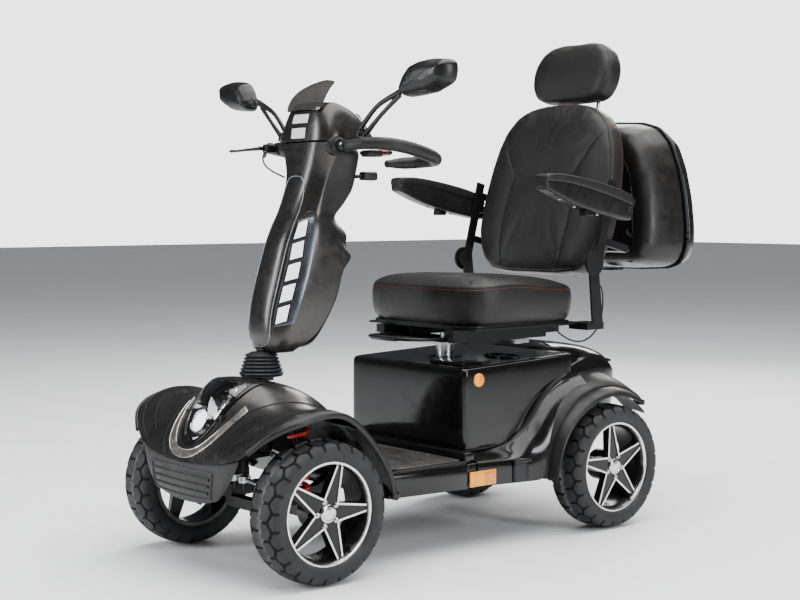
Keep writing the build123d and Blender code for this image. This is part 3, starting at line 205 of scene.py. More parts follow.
def leather_group():
    """Pebbled leatherette with fine creases."""
    group, into, out = start_group("leather grain", {"Scale": 420.0}, ("Height", "Painted Shading"))
    place = put(group, "ShaderNodeTexCoord").outputs["Object"]
    bend = put(group, "ShaderNodeTexNoise", {"Vector": place, "Scale": 120.0, "Detail": 2.0}).outputs["Color"]
    warped = put(group, "ShaderNodeMixRGB", {"Fac": 0.006, "Color1": place, "Color2": bend}).outputs["Color"]
    cells = put(group, "ShaderNodeTexVoronoi", {"Vector": warped, "Scale": into.outputs["Scale"]},
        feature="DISTANCE_TO_EDGE").outputs["Distance"]
    pebble = ramp(group, cells, 0.0, 0.28)
    fine = put(group, "ShaderNodeTexNoise", {"Vector": place, "Scale": 1500.0, "Detail": 2.0}).outputs["Fac"]
    height = put(group, "ShaderNodeMath", {0: pebble, 1: times(group, fine, 0.3)}, operation="ADD").outputs[0]
    group.links.new(height, out.inputs["Height"])
    # Mask of the grooves between the pebbles, used for painted shade.
    group.links.new(ramp(group, cells, 0.12, 0.0), out.inputs["Painted Shading"])
    return group


def stipple_group():
    """Fine moulded texture of plastic and rubber."""
    group, into, out = start_group("moulded stipple", {"Scale": 700.0}, ("Height", "Painted Shading"))
    place = put(group, "ShaderNodeTexCoord").outputs["Object"]
    noise = put(group, "ShaderNodeTexNoise", {"Vector": place, "Scale": into.outputs["Scale"], "Detail": 3.0,
            "Roughness": 0.6}).outputs["Fac"]
    group.links.new(noise, out.inputs["Height"])
    # Mask of the stipple's hollows, used for painted shade.
    group.links.new(ramp(group, noise, 0.45, 0.3), out.inputs["Painted Shading"])
    return group


def streak_group():
    """Long streaks across X: brushed metal, or the grooves of the mat."""
    group, into, out = start_group("streaks", {"Scale": 300.0}, ("Height", "Painted Shading"))
    place = put(group, "ShaderNodeTexCoord").outputs["Object"]
    drawn = put(group, "ShaderNodeMapping", {"Vector": place, "Scale": (0.035, 1.0, 1.0)}).outputs[0]
    noise = put(group, "ShaderNodeTexNoise", {"Vector": drawn, "Scale": into.outputs["Scale"], "Detail": 4.0,
            "Roughness": 0.65}).outputs["Fac"]
    group.links.new(noise, out.inputs["Height"])
    # Mask of the raised streaks, used for a painted highlight on the mat.
    group.links.new(ramp(group, noise, 0.5, 0.62), out.inputs["Painted Shading"])
    return group


PATINA = patina_group()
WORN_EDGE = worn_edge_group()
DUST = dust_group()
GRAINS = {"leather": leather_group(), "stipple": stipple_group(), "streaks": streak_group()}


def use_group(tree, group, **values):
    node = tree.nodes.new("ShaderNodeGroup")
    node.node_tree = group
    for key, value in values.items():
        node.inputs[key].default_value = value
    return node


def blend_colour(tree, share, under, over):
    mix = tree.nodes.new("ShaderNodeMix")
    mix.data_type = "RGBA"
    for index, value in ((0, share), (6, under), (7, over)):
        if isinstance(value, bpy.types.NodeSocket):
            tree.links.new(value, mix.inputs[index])
        else:
            mix.inputs[index].default_value = value
    return mix.outputs[2]


def finish(name, colour, rough, metal=0.0, tone=0.25, spread=0.07, size=9.0, grain=None, scale=500.0,
    depth=0.0, crease=0.0, worn=None, dust=0.0, sockets=None, spec=0.30):
    """Material of one finish: varied colour, roughness and relief, with painted shade in the grain's hollows and, for
    a negative crease, a painted highlight on the raised streaks; constants go on the shader itself.
    """
    material = bpy.data.materials.new(name)
    material.use_nodes = True
    tree = material.node_tree
    bsdf = tree.nodes["Principled BSDF"]
    bsdf.inputs["Metallic"].default_value = metal
    bsdf.inputs["Specular IOR Level"].default_value = spec
    for key, value in (sockets or {}).items():
        bsdf.inputs[key].default_value = value
    patina = use_group(tree, PATINA, Size=size)
    deep = [c * (1.0 - tone) for c in colour] + [1.0]
    light = [min(1.0, c * (1.0 + tone)) for c in colour] + [1.0]
    paint = blend_colour(tree, patina.outputs["Tone"], deep, light)
    if grain:
        relief = use_group(tree, GRAINS[grain], Scale=scale)
        # crease blends the grain's hollows towards 0.35 of the colour as painted shade; a negative crease blends the
        # raised streaks towards 2.6 times the colour as a painted highlight.
        if crease:
            share = times(tree, relief.outputs["Painted Shading"], abs(crease))
            under = [c * (0.35 if crease > 0 else 2.6) for c in colour] + [1.0]
            paint = blend_colour(tree, share, paint, under)
        bump = put(tree, "ShaderNodeBump", {"Height": relief.outputs["Height"], "Distance": depth * MM,
                "Strength": 1.0})
        tree.links.new(bump.outputs["Normal"], bsdf.inputs["Normal"])
    if worn:
        edge = use_group(tree, WORN_EDGE, Sharpness=worn[0])
        paint = blend_colour(tree, times(tree, edge.outputs["Mask"], worn[1]), paint, list(worn[2]) + [1.0])
    if dust:
        film = use_group(tree, DUST, Amount=dust)
        paint = blend_colour(tree, film.outputs["Mask"], paint, (0.42, 0.40, 0.37, 1.0))
    tree.links.new(paint, bsdf.inputs["Base Color"])
    gloss = put(tree, "ShaderNodeMapRange", {"Value": patina.outputs["Smudge"], "To Min": max(0.02, rough - spread),
            "To Max": min(1.0, rough + spread)})
    tree.links.new(gloss.outputs["Result"], bsdf.inputs["Roughness"])
    return material


# The crease amounts below paint shade into the grain's hollows; the mat's negative amount paints its raised streaks
# lighter as a painted highlight.
GREY_EDGE = (0.045, 0.043, 0.041)
BODY_SATIN = finish("graphite satin paint", (0.046, 0.043, 0.041), 0.30, 0.8, tone=0.12, spread=0.05,
    grain="stipple", scale=2600.0, depth=0.02, worn=(0.56, 0.35, GREY_EDGE), dust=0.02,
    sockets={"Coat Weight": 0.35, "Coat Roughness": 0.22})
# Darker copy of the satin paint for the pod crease beads: painted shade.
BODY_CREASE_SHADE = finish("graphite satin painted crease shade", (0.030, 0.029, 0.028), 0.26, 0.8, tone=0.08, spread=0.04,
    sockets={"Coat Weight": 0.35, "Coat Roughness": 0.2})
BODY_GLOSS = finish("black gloss plastic", (0.0050, 0.0048, 0.0046), 0.14, tone=0.2, spread=0.05, size=7.0,
    worn=(0.57, 0.3, GREY_EDGE), dust=0.02, sockets={"Coat Weight": 0.15, "Coat Roughness": 0.08})
LINER = finish("inner liner plastic", (0.016, 0.019, 0.026), 0.5, tone=0.25, grain="stipple", scale=500.0,
    depth=0.25, dust=0.12)
BUMPER = finish("grained bumper plastic", (0.030, 0.029, 0.029), 0.60, tone=0.15, grain="stipple", scale=420.0,
    depth=0.9, crease=0.5, worn=(0.54, 0.4, GREY_EDGE), dust=0.06)
DARK_SATIN = finish("dark satin plastic", (0.0105, 0.0100, 0.0098), 0.40, 0.0, tone=0.2, grain="stipple",
    scale=1500.0, depth=0.06, worn=(0.56, 0.35, GREY_EDGE), dust=0.05)
CHAMPAGNE = finish("champagne trim", (0.40, 0.35, 0.30), 0.30, 0.9, tone=0.12, grain="streaks", scale=900.0,
    depth=0.02, sockets={"Coat Weight": 0.4})
PIPING = finish("bright bead", (0.62, 0.60, 0.58), 0.22, 1.0, tone=0.1, spread=0.05)
SILVER_LINE = finish("silver grey line", (0.30, 0.31, 0.33), 0.35, 0.8, tone=0.1)
CHROME = finish("polished chrome", (0.62, 0.61, 0.60), 0.10, 1.0, tone=0.08, spread=0.06, size=20.0)
MACHINED = finish("machined aluminium", (0.74, 0.72, 0.70), 0.24, 1.0, tone=0.08, spread=0.06, grain="streaks",
    scale=1400.0, depth=0.03)
RIM_BLACK = finish("gloss black wheel paint", (0.006, 0.006, 0.0065), 0.22, 0.0, tone=0.2, spread=0.06,
    dust=0.04)
ZINC = finish("zinc plated steel", (0.56, 0.56, 0.57), 0.30, 1.0, tone=0.18, spread=0.12, size=40.0,
    grain="stipple", scale=900.0, depth=0.03)
STEEL_BLACK = finish("black coated steel", (0.010, 0.010, 0.0105), 0.38, 0.35, tone=0.15, grain="stipple",
    scale=1100.0, depth=0.08, dust=0.05)
CAST_GREY = finish("cast aluminium housing", (0.20, 0.20, 0.205), 0.50, 0.8, tone=0.25, grain="stipple",
    scale=350.0, depth=0.35, dust=0.15)
SPRING_RED = finish("red spring coating", (0.62, 0.025, 0.018), 0.32, tone=0.18, spread=0.08,
    worn=(0.55, 0.25, (0.8, 0.2, 0.15)), sockets={"Coat Weight": 0.5})
TYRE = finish("tyre rubber", (0.019, 0.0195, 0.0208), 0.64, tone=0.22, size=14.0, grain="stipple", scale=520.0,
    depth=0.35, crease=0.35, dust=0.16)
# Near-black rubber for the grooves between the lugs: painted shade.
TYRE_GROOVE_SHADE = finish("tyre groove painted shade", (0.006, 0.006, 0.007), 0.8, tone=0.2)
TREAD_GROOVE = finish("tyre groove rubber", (0.085, 0.087, 0.094), 0.74, tone=0.3, size=30.0, grain="stipple",
    scale=520.0, depth=0.3, dust=0.2)
RUBBER = finish("bellows rubber", (0.012, 0.014, 0.018), 0.42, tone=0.2, grain="stipple", scale=800.0, depth=0.1,
    dust=0.06)
GRIP = finish("soft grip foam", (0.0085, 0.0080, 0.0076), 0.48, tone=0.2, grain="stipple", scale=1300.0, depth=0.22,
    crease=0.3, sockets={"Sheen Weight": 0.03})
MAT = finish("ribbed floor mat", (0.034, 0.032, 0.031), 0.60, tone=0.25, grain="streaks", scale=190.0, depth=1.1,
    crease=-0.75, dust=0.10)
LEATHER = finish("black leatherette", (0.0098, 0.0088, 0.0082), 0.36, tone=0.15, spread=0.06, grain="leather",
    scale=520.0, depth=0.16, crease=0.4, worn=(0.57, 0.25, (0.09, 0.085, 0.08)),
    sockets={"Sheen Weight": 0.02, "Sheen Roughness": 0.4})
# Near-black for the seat's seams and stitches, and as painted shade along the body creases of the fenders, hood and
# nose.
DARK_SEAM_AND_CREASE_SHADE = finish("pressed seam and painted crease shade", (0.008, 0.008, 0.008), 0.6, tone=0.2)
THREAD = finish("red brown thread", (0.20, 0.030, 0.015), 0.6, tone=0.3, grain="stipple", scale=2500.0, depth=0.1)
ARM_PLASTIC = finish("armrest plastic", (0.0085, 0.0082, 0.0080), 0.33, tone=0.2, grain="stipple", scale=900.0,
    depth=0.10, worn=(0.56, 0.4, GREY_EDGE))
CASE_SATIN = finish("case plastic", (0.0095, 0.0083, 0.0077), 0.38, tone=0.18, grain="stipple", scale=650.0,
    depth=0.22, crease=0.2, worn=(0.56, 0.3, GREY_EDGE), dust=0.04)
CASE_GLOSS = finish("case gloss shell", (0.008, 0.0076, 0.0074), 0.2, tone=0.2, spread=0.06,
    sockets={"Coat Weight": 0.5, "Coat Roughness": 0.12}, dust=0.04)
SMOKE = finish("smoked screen", (0.040, 0.035, 0.032), 0.12, tone=0.12, spread=0.03,
    sockets={"Alpha": 0.90, "Coat Weight": 0.4})
LENS = finish("clear lens", (0.93, 0.94, 0.95), 0.04, tone=0.02, spread=0.02,
    sockets={"Transmission Weight": 1.0, "IOR": 1.45})
AMBER = finish("amber reflector", (0.90, 0.33, 0.006), 0.22, tone=0.12, grain="stipple", scale=420.0, depth=0.25,
    crease=0.25, sockets={"Coat Weight": 0.8})
AMBER_DEEP = finish("amber reflector prism", (0.72, 0.22, 0.004), 0.25, tone=0.15, grain="streaks", scale=500.0,
    depth=0.3, sockets={"Coat Weight": 0.8})
TAIL_RED = finish("red lamp", (0.35, 0.008, 0.006), 0.12, tone=0.15, sockets={"Coat Weight": 0.8})
ORANGE = finish("orange lever", (0.85, 0.13, 0.02), 0.38, tone=0.12, grain="stipple", scale=900.0, depth=0.08)
LED_WHITE = finish("lit white window", (0.92, 0.93, 0.96), 0.25, tone=0.05, grain="stipple", scale=300.0,
    depth=0.3, sockets={"Emission Color": (0.93, 0.96, 1.0, 1.0), "Emission Strength": 0.62})
LED_BRIGHT = finish("lit lamp bowl", (0.97, 0.98, 1.0), 0.2, tone=0.05,
    sockets={"Emission Color": (0.95, 0.97, 1.0, 1.0), "Emission Strength": 2.6})
MIRROR = finish("mirror glass", (0.80, 0.81, 0.83), 0.03, 1.0, tone=0.02, spread=0.02)
SHEATH = finish("cable sheath", (0.018, 0.018, 0.019), 0.45, tone=0.2, grain="stipple", scale=1200.0, depth=0.08)
PLUG_WHITE = finish("connector nylon", (0.66, 0.68, 0.68), 0.45, tone=0.08, grain="stipple", scale=900.0,
    depth=0.08)
LABEL = finish("blank label", (0.70, 0.68, 0.66), 0.4, tone=0.05, spread=0.05)
DISPLAY = finish("display glass", (0.03, 0.05, 0.06), 0.08, tone=0.3, sockets={"Coat Weight": 1.0})
BATTERY = finish("battery case", (0.04, 0.042, 0.045), 0.5, tone=0.2, grain="stipple", scale=500.0, depth=0.2)


# --------------------------------------------------------------------------
# Making meshes; points are in millimetres
# --------------------------------------------------------------------------
def mesh_piece(name, points, faces, *materials, sharp=38.0, picks=None):
    data = bpy.data.meshes.new(name)
    data.from_pydata([tuple(c * MM for c in point) for point in points], [], faces)
    for material in materials:
        data.materials.append(material)
    if picks is not None:
        data.polygons.foreach_set("material_index", picks)
    data.validate()
    tidy_normals(data, sharp)
    return link(bpy.data.objects.new(name, data))


def tidy_normals(data, sharp=38.0):
    work = bmesh.new()
    work.from_mesh(data)
    bmesh.ops.recalc_face_normals(work, faces=work.faces)
    work.to_mesh(data)
    work.free()
    data.shade_smooth()
    data.set_sharp_from_angle(angle=math.radians(sharp))


def settle(obj, sharp=None):
    """Turn a curve or an object with modifiers into a plain mesh."""
    bpy.context.view_layer.update()
    graph = bpy.context.evaluated_depsgraph_get()
    data = bpy.data.meshes.new_from_object(obj.evaluated_get(graph))
    solid = bpy.data.objects.new(obj.name, data)
    solid.matrix_world = obj.matrix_world
    name = obj.name
    if not data.materials:
        for slot in obj.material_slots:
            data.materials.append(slot.material)
    bpy.data.objects.remove(obj)
    solid.name = name
    link(solid)
    if sharp:
        tidy_normals(data, sharp)
    return solid


def modified(obj, kind, **settings):
    modifier = obj.modifiers.new(kind.lower(), kind)
    for key, value in settings.items():
        setattr(modifier, key, value)
    return modifier


def rounded(obj, width, segments=3, angle=30.0, sharp=40.0):
    modified(obj, "BEVEL", width=width * MM, segments=segments, limit_method="ANGLE",
        angle_limit=math.radians(angle), use_clamp_overlap=True)
    return settle(obj, sharp)


def subdivided(obj, levels=2, sharp=50.0):
    modified(obj, "SUBSURF", levels=levels, render_levels=levels)
    return settle(obj, sharp)


def joined(name, parts):
    """One mesh from several, keeping every material."""
    work = bmesh.new()
    materials = []
    for part in parts:
        data = part.data.copy()
        data.transform(part.matrix_world)
        shift = {}
        for index, material in enumerate(data.materials):
            if material not in materials:
                materials.append(material)
            shift[index] = materials.index(material)
        for polygon in data.polygons:
            polygon.material_index = shift.get(polygon.material_index, 0)
        work.from_mesh(data)
        bpy.data.objects.remove(part)
    data = bpy.data.meshes.new(name)
    work.to_mesh(data)
    work.free()
    for material in materials:
        data.materials.append(material)
    return link(bpy.data.objects.new(name, data))


def smooth_line(points, steps=8, closed=False):
    """Points along a smooth line through the given ones."""
    pts = np.array(points, float)
    count = len(pts)
    line = []
    spans = count if closed else count - 1
    for i in range(spans):
        if closed:
            p = [pts[(i + k) % count] for k in (-1, 0, 1, 2)]
        else:
            p = [pts[max(0, i - 1)], pts[i], pts[i + 1], pts[min(count - 1, i + 2)]]
        for t in np.arange(steps) / steps:
            line.append(0.5 * (2 * p[1] + (p[2] - p[0]) * t + (2 * p[0] - 5 * p[1] + 4 * p[2] - p[3]) * t ** 2
                    + (3 * p[1] - p[0] - 3 * p[2] + p[3]) * t ** 3))
    if not closed:
        line.append(pts[-1])
    return np.array(line)


def spaced(points, gap, closed=False):
    """The same line with points at even distances."""
    pts = np.array(points, float)
    if closed:
        pts = np.vstack([pts, pts[:1]])
    run = np.concatenate([[0], np.cumsum(np.linalg.norm(np.diff(pts, axis=0), axis=1))])
    count = max(2, int(round(run[-1] / gap)))
    marks = np.linspace(0, run[-1], count + 1)
    if closed:
        marks = marks[:-1]
    return np.array([[np.interp(m, run, pts[:, k]) for k in range(pts.shape[1])] for m in marks])


def hose(name, points, radius, material, sides=16, steps=8, closed=False, flat=1.0, up=(0, 0, 1), straight=False):
    """Round bar along a line; radius and flat may change from point to point. flat squeezes it along up."""
    radii = [radius] * len(points) if np.isscalar(radius) else radius
    flats = [flat] * len(points) if np.isscalar(flat) else flat
    packed = np.column_stack([np.array(points, float), radii, flats])
    line = packed if straight else smooth_line(packed, steps, closed)
    up = Vector(up)
    verts, faces = [], []
    total = len(line)
    for i, row in enumerate(line):
        ahead = line[(i + 1) % total if closed else min(i + 1, total - 1)][:3]
        behind = line[(i - 1) % total if closed else max(i - 1, 0)][:3]
        along = Vector(ahead - behind).normalized()
        across = along.cross(up)
        if across.length < 1e-4:
            across = along.cross(Vector((1, 0, 0)))
        across.normalize()
        rise = across.cross(along).normalized()
        for k in range(sides):
            turn = 2 * math.pi * k / sides
            spot = across * (math.cos(turn) * row[3]) + rise * (math.sin(turn) * row[3] * row[4])
            verts.append(tuple(Vector(row[:3]) + spot))
    for i in range(total if closed else total - 1):
        a, b = i * sides, ((i + 1) % total) * sides
        for k in range(sides):
            n = (k + 1) % sides
            faces.append((a + k, a + n, b + n, b + k))
    if not closed:
        faces.append(tuple(range(sides))[::-1])
        faces.append(tuple(range((total - 1) * sides, total * sides)))
    return mesh_piece(name, verts, faces, material, sharp=50.0)


def turned(name, profile, centre, axis, material, steps=48, sharp=32.0, ring=False):
    """Turned piece: profile holds (distance along the axis, radius) pairs; a ring's profile closes on itself."""
    along = Vector(axis).normalized()
    side = along.orthogonal().normalized()
    other = along.cross(side)
    centre = Vector(centre)
    verts, faces = [], []
    for distance, radius in profile:
        for k in range(steps):
            turn = 2 * math.pi * k / steps
            verts.append(tuple(centre + along * distance + (side * math.cos(turn) + other * math.sin(turn)) * radius))
    last = len(profile)
    for i in range(last if ring else last - 1):
        j = (i + 1) % last
        for k in range(steps):
            n = (k + 1) % steps
            faces.append((i * steps + k, i * steps + n, j * steps + n, j * steps + k))
    if not ring:
        faces.append(tuple(range(steps))[::-1])
        faces.append(tuple(range((last - 1) * steps, last * steps)))
    return mesh_piece(name, verts, faces, material, sharp=sharp)


def plate(name, outline, origin, across, upward, thickness, material, edge=1.0):
    """Flat plate: outline in (across, upward), thickened along their cross product."""
    across, upward = Vector(across).normalized(), Vector(upward).normalized()
    out = across.cross(upward)
    origin = Vector(origin)
    count = len(outline)
    verts = []
    for level in (0.0, thickness):
        for u, v in outline:
            verts.append(tuple(origin + across * u + upward * v + out * level))
    faces = [tuple(range(count))[::-1], tuple(range(count, 2 * count))]
    for k in range(count):
        n = (k + 1) % count
        faces.append((k, n, count + n, count + k))
    piece = mesh_piece(name, verts, faces, material)
    return rounded(piece, edge, 2) if edge else piece


def block(name, low, high, material, edge=2.0, lean=None):
    """Bevelled block between two corners, or turned by a matrix about its own middle."""
    mid = [(a + b) / 2 for a, b in zip(low, high)]
    half = [(b - a) / 2 for a, b in zip(low, high)]
    verts = []
    for dz in (-1, 1):
        for dx, dy in ((-1, -1), (1, -1), (1, 1), (-1, 1)):
            spot = Vector((dx * half[0], dy * half[1], dz * half[2]))
            if lean:
                spot = lean @ spot
            verts.append(tuple(Vector(mid) + spot))
    faces = [(3, 2, 1, 0), (4, 5, 6, 7), (0, 1, 5, 4), (1, 2, 6, 5), (2, 3, 7, 6), (3, 0, 4, 7)]
    return rounded(mesh_piece(name, verts, faces, material), edge, 3)


def thicken(obj, thickness, sharp=45.0):
    modified(obj, "SOLIDIFY", thickness=thickness * MM, offset=-1.0, use_even_offset=True)
    return settle(obj, sharp)


def skin(name, rings, material, levels=2, closed=True, caps=True, thick=0.0, sharp=55.0, creases=None):
    """Smooth shell lofted through rings; creases holds a crispness for (ring, point) pairs along or across."""
    count = len(rings[0])
    verts = [tuple(p) for ring in rings for p in ring]
    faces = []
    for i in range(len(rings) - 1):
        for k in range(count if closed else count - 1):
            n = (k + 1) % count
            faces.append((i * count + k, i * count + n, (i + 1) * count + n, (i + 1) * count + k))
    if caps and closed:
        faces.append(tuple(range(count))[::-1])
        faces.append(tuple(range((len(rings) - 1) * count, len(rings) * count)))
    shell = mesh_piece(name, verts, faces, material)
    if creases:
        crisp = shell.data.attributes.new("crease_edge", "FLOAT", "EDGE")
        for edge in shell.data.edges:
            first, second = sorted(edge.vertices)
            kind = "along" if second - first == count else "across"
            crisp.data[edge.index].value = creases(kind, first // count, first % count)
    modified(shell, "SUBSURF", levels=levels, render_levels=levels)
    if thick:
        modified(shell, "SOLIDIFY", thickness=thick * MM, offset=-1.0, use_even_offset=True)
    return settle(shell, sharp)


def surface_of(obj):
    """Search tree of a finished mesh, in millimetres."""
    data = obj.data
    points = [obj.matrix_world @ v.co * (1 / MM) for v in data.vertices]
    return BVHTree.FromPolygons([tuple(p) for p in points], [tuple(p.vertices) for p in data.polygons])


def onto(tree, point, lift=0.0):
    spot, normal, _, _ = tree.find_nearest(Vector(point))
    return spot + normal * lift, normal


def bead(name, tree, points, radius, material, lift=0.0, smooth=True, closed=False, gap=6.0, flat=1.0):
    """Raised line laid on a surface."""
    line = spaced(smooth_line(points, 10, closed) if smooth else points, gap, closed)
    laid = [onto(tree, p, lift)[0] for p in line]
    return hose(name, laid, radius, material, sides=8, closed=closed, flat=flat, straight=True)


def stitches(name, tree, points, material, length=6.0, gap=3.2, radius=0.75, lift=0.5, smooth=True, closed=False):
    """Row of thread stitches laid on a surface."""
    line = spaced(smooth_line(points, 10, closed) if smooth else points, (length + gap) / 2, closed)
    verts, faces = [], []
    for i in range(0, len(line) - 1, 2):
        a, normal = onto(tree, line[i], lift)
        b, _ = onto(tree, line[i + 1], lift)
        along = (b - a).normalized()
        across = along.cross(normal).normalized()
        stretch = (b - a) * 0.15
        for centre, scale in ((a - stretch, 0.3), ((a + b) / 2 + normal * radius * 0.4, 1.0), (b + stretch, 0.3)):
            for k in range(6):
                turn = math.pi * k / 3
                verts.append(tuple(centre + (across * math.cos(turn) + normal * math.sin(turn)) * radius * scale))
        base = len(verts) - 18
        for ring in (0, 6):
            for k in range(6):
                n = (k + 1) % 6
                faces.append((base + ring + k, base + ring + n, base + ring + 6 + n, base + ring + 6 + k))
    return mesh_piece(name, verts, faces, material, sharp=60.0)


def ribbon(name, tree, lines, lift, material, gap=6.0, edge=0.0, smooth=True, closed=False, fillers=3):
    """Thin panel laid on a surface between guide lines of equal count, thickened down into it."""
    guides = []
    for line in lines:
        dense = smooth_line(line, 10, closed) if smooth else np.array(line, float)
        guides.append(dense)
    longest = max(np.linalg.norm(np.diff(g, axis=0), axis=1).sum() for g in guides)
    count = max(4, int(longest / gap))
    even = [spaced(g, np.linalg.norm(np.diff(g, axis=0), axis=1).sum() / count + 1e-9, closed) for g in guides]
    size = min(len(g) for g in even)
    rows = []
    for a, b in zip(even[:-1], even[1:]):
        for t in np.arange(fillers) / fillers:
            rows.append(a[:size] * (1 - t) + b[:size] * t)
    rows.append(even[-1][:size])
    verts, faces = [], []
    for level in (lift, -1.5):
        for row in rows:
            for point in row:
                verts.append(tuple(onto(tree, point, level)[0]))
    layer = len(rows) * size
    for level in (0, layer):
        for i in range(len(rows) - 1):
            for k in range(size if closed else size - 1):
                n = (k + 1) % size
                faces.append((level + i * size + k, level + i * size + n, level + (i + 1) * size + n,
                        level + (i + 1) * size + k))
    for i in (0, len(rows) - 1):
        for k in range(size if closed else size - 1):
            n = (k + 1) % size
            faces.append((i * size + k, i * size + n, layer + i * size + n, layer + i * size + k))
    if not closed:
        for i in range(len(rows) - 1):
            for k in (0, size - 1):
                faces.append((i * size + k, (i + 1) * size + k, layer + (i + 1) * size + k, layer + i * size + k))
    piece = mesh_piece(name, verts, faces, material, sharp=40.0)
    return rounded(piece, edge, 2, 50.0) if edge else piece


def mirrored(points):
    return [(-p[0],) + tuple(p[1:]) for p in points]


def round_corners(corners, radius, steps=5):
    """Outline with its corners rounded; corners are (u, v) pairs."""
    pts = [np.array(c, float) for c in corners]
    outline = []
    for i, corner in enumerate(pts):
        before, after = pts[i - 1], pts[(i + 1) % len(pts)]
        a, b = before - corner, after - corner
        reach = min(radius, np.linalg.norm(a) * 0.49, np.linalg.norm(b) * 0.49)
        start, end = corner + a / np.linalg.norm(a) * reach, corner + b / np.linalg.norm(b) * reach
        for t in np.linspace(0, 1, steps + 1):
            outline.append(tuple((1 - t) ** 2 * start + 2 * t * (1 - t) * corner + t ** 2 * end))
    return outline


def screw(name, centre, axis, radius, material=None, height=3.0):
    """Dome head with a hexagon socket."""
    head = turned(name, [(0, radius), (height * 0.5, radius), (height * 0.85, radius * 0.82),
            (height, radius * 0.5), (height * 0.5, radius * 0.45)], centre, axis, material or ZINC, steps=20)
    return head


# --------------------------------------------------------------------------
# Wheels
# --------------------------------------------------------------------------
AXLE_HEIGHT = 180.0
FRONT_AXLE = -640.0
REAR_AXLE = 400.0
TRACK_HALF = 302.0
TYRE_RADIUS = 180.0
LUG_ROWS = 24
GROOVE_DEPTH = 4.6


def lug_height(across, along, pitch):
    """1 on a lug, 0 in a groove, at a place on the unrolled tread; negative in the middle zigzag."""
    zigzag = 5.0 * (2.0 * abs((along / pitch * 2.0) % 1.0 - 0.5) - 0.5)
    if abs(across - zigzag) < 6.0:
        return -1.0
    best = []
    for row, offset in ((-52.0, 0.5), (-26.0, 0.0), (26.0, 0.5), (52.0, 0.0)):
        base = math.floor(along / pitch - offset)
        for step in (-1, 0, 1, 2):
            v = (base + step + offset) * pitch
            best.append(math.hypot((across - row) * 1.3, along - v))
    best.sort()
    gap = best[1] - best[0]
    return min(1.0, max(0.0, (gap - 4.4) / 1.6))


def make_tyre_mesh():
    """Inflated tyre with hexagon lugs each side of a zigzag groove; the grooves between the lugs are painted
    near-black as shade.
    """
    section = smooth_line([(-40, 127), (-49, 130), (-55.5, 140), (-57, 152), (-55, 163), (-49, 171), (-38, 176),
            (-20, 179), (0, 180), (20, 179), (38, 176), (49, 171), (55, 163), (57, 152),
            (55.5, 140), (49, 130), (40, 127)], 5)
    section = spaced(section, 3.0)
    turns = LUG_ROWS * 22
    pitch = 2 * math.pi * TYRE_RADIUS / LUG_ROWS
    verts, faces, picks = [], [], []
    count = len(section)
    marks = np.zeros((turns, count))
    for i in range(turns):
        turn = 2 * math.pi * i / turns
        along = pitch * LUG_ROWS * i / turns
        for k, (across, radius) in enumerate(section):
            mark = lug_height(across, along, pitch) if radius > 160 else 1.0
            marks[i, k] = mark
            depth = 0.0 if mark >= 1 else GROOVE_DEPTH * (1 - max(mark, 0.0))
            radius = radius - depth
            verts.append((across, radius * math.cos(turn), radius * math.sin(turn)))
    for i in range(turns):
        for k in range(count - 1):
            n = (i + 1) % turns
            faces.append((i * count + k, i * count + k + 1, n * count + k + 1, n * count + k))
            low = min(marks[i, k], marks[i, k + 1], marks[n, k], marks[n, k + 1])
            # Faces in the grooves between the lugs take the near-black rubber: painted shade.
            picks.append(1 if low < 0 else 2 if low < 0.3 else 0)
    tyre = mesh_piece("tyre_shape", verts, faces, TYRE, TREAD_GROOVE, TYRE_GROOVE_SHADE, sharp=28.0, picks=picks)
    data = tyre.data
    bpy.data.objects.remove(tyre)
    return data


def star_outline(tip, valley, half_width, start):
    outline = []
    for k in range(5):
        middle = start + 72 * k
        for side in (-1, 1):
            angle = math.radians(middle) + side * math.atan2(half_width, tip)
            outline.append((math.cos(angle) * tip, math.sin(angle) * tip))
        angle = math.radians(middle + 36)
        outline.append((math.cos(angle) * valley, math.sin(angle) * valley))
    return outline


def spoke_star(name, out, start, centre):
    """Five-spoke star: black face with a machined edge round every spoke."""
    verts, faces, picks = [], [], []
    tip, valley, wide = 121.0, 40.0, 9.5
    loops = [(star_outline(tip, valley, wide + 7, start), 20.0), (star_outline(tip, valley, wide + 1, start), 37.0),
        (star_outline(tip, valley, wide, start), 40.0),
        (star_outline(tip + 2, valley - 7.0, wide - 5.2, start), 40.0),
        (star_outline(tip + 2, valley - 8.0, wide - 6.0, start), 37.5)]
    for outline, depth in loops:
        verts += [(centre[0] + out * depth, centre[1] + u, centre[2] + v) for u, v in outline]
    count = len(loops[0][0])
    for level in range(len(loops) - 1):
        for k in range(count):
            n = (k + 1) % count
            faces.append((level * count + k, level * count + n, (level + 1) * count + n, (level + 1) * count + k))
            picks.append(1 if level == 2 else 0)
    faces.append(tuple(range((len(loops) - 1) * count, len(loops) * count)))
    picks.append(0)
    faces.append(tuple(range(count))[::-1])
    picks.append(0)
    return mesh_piece(name, verts, faces, RIM_BLACK, MACHINED, sharp=30.0, picks=picks)


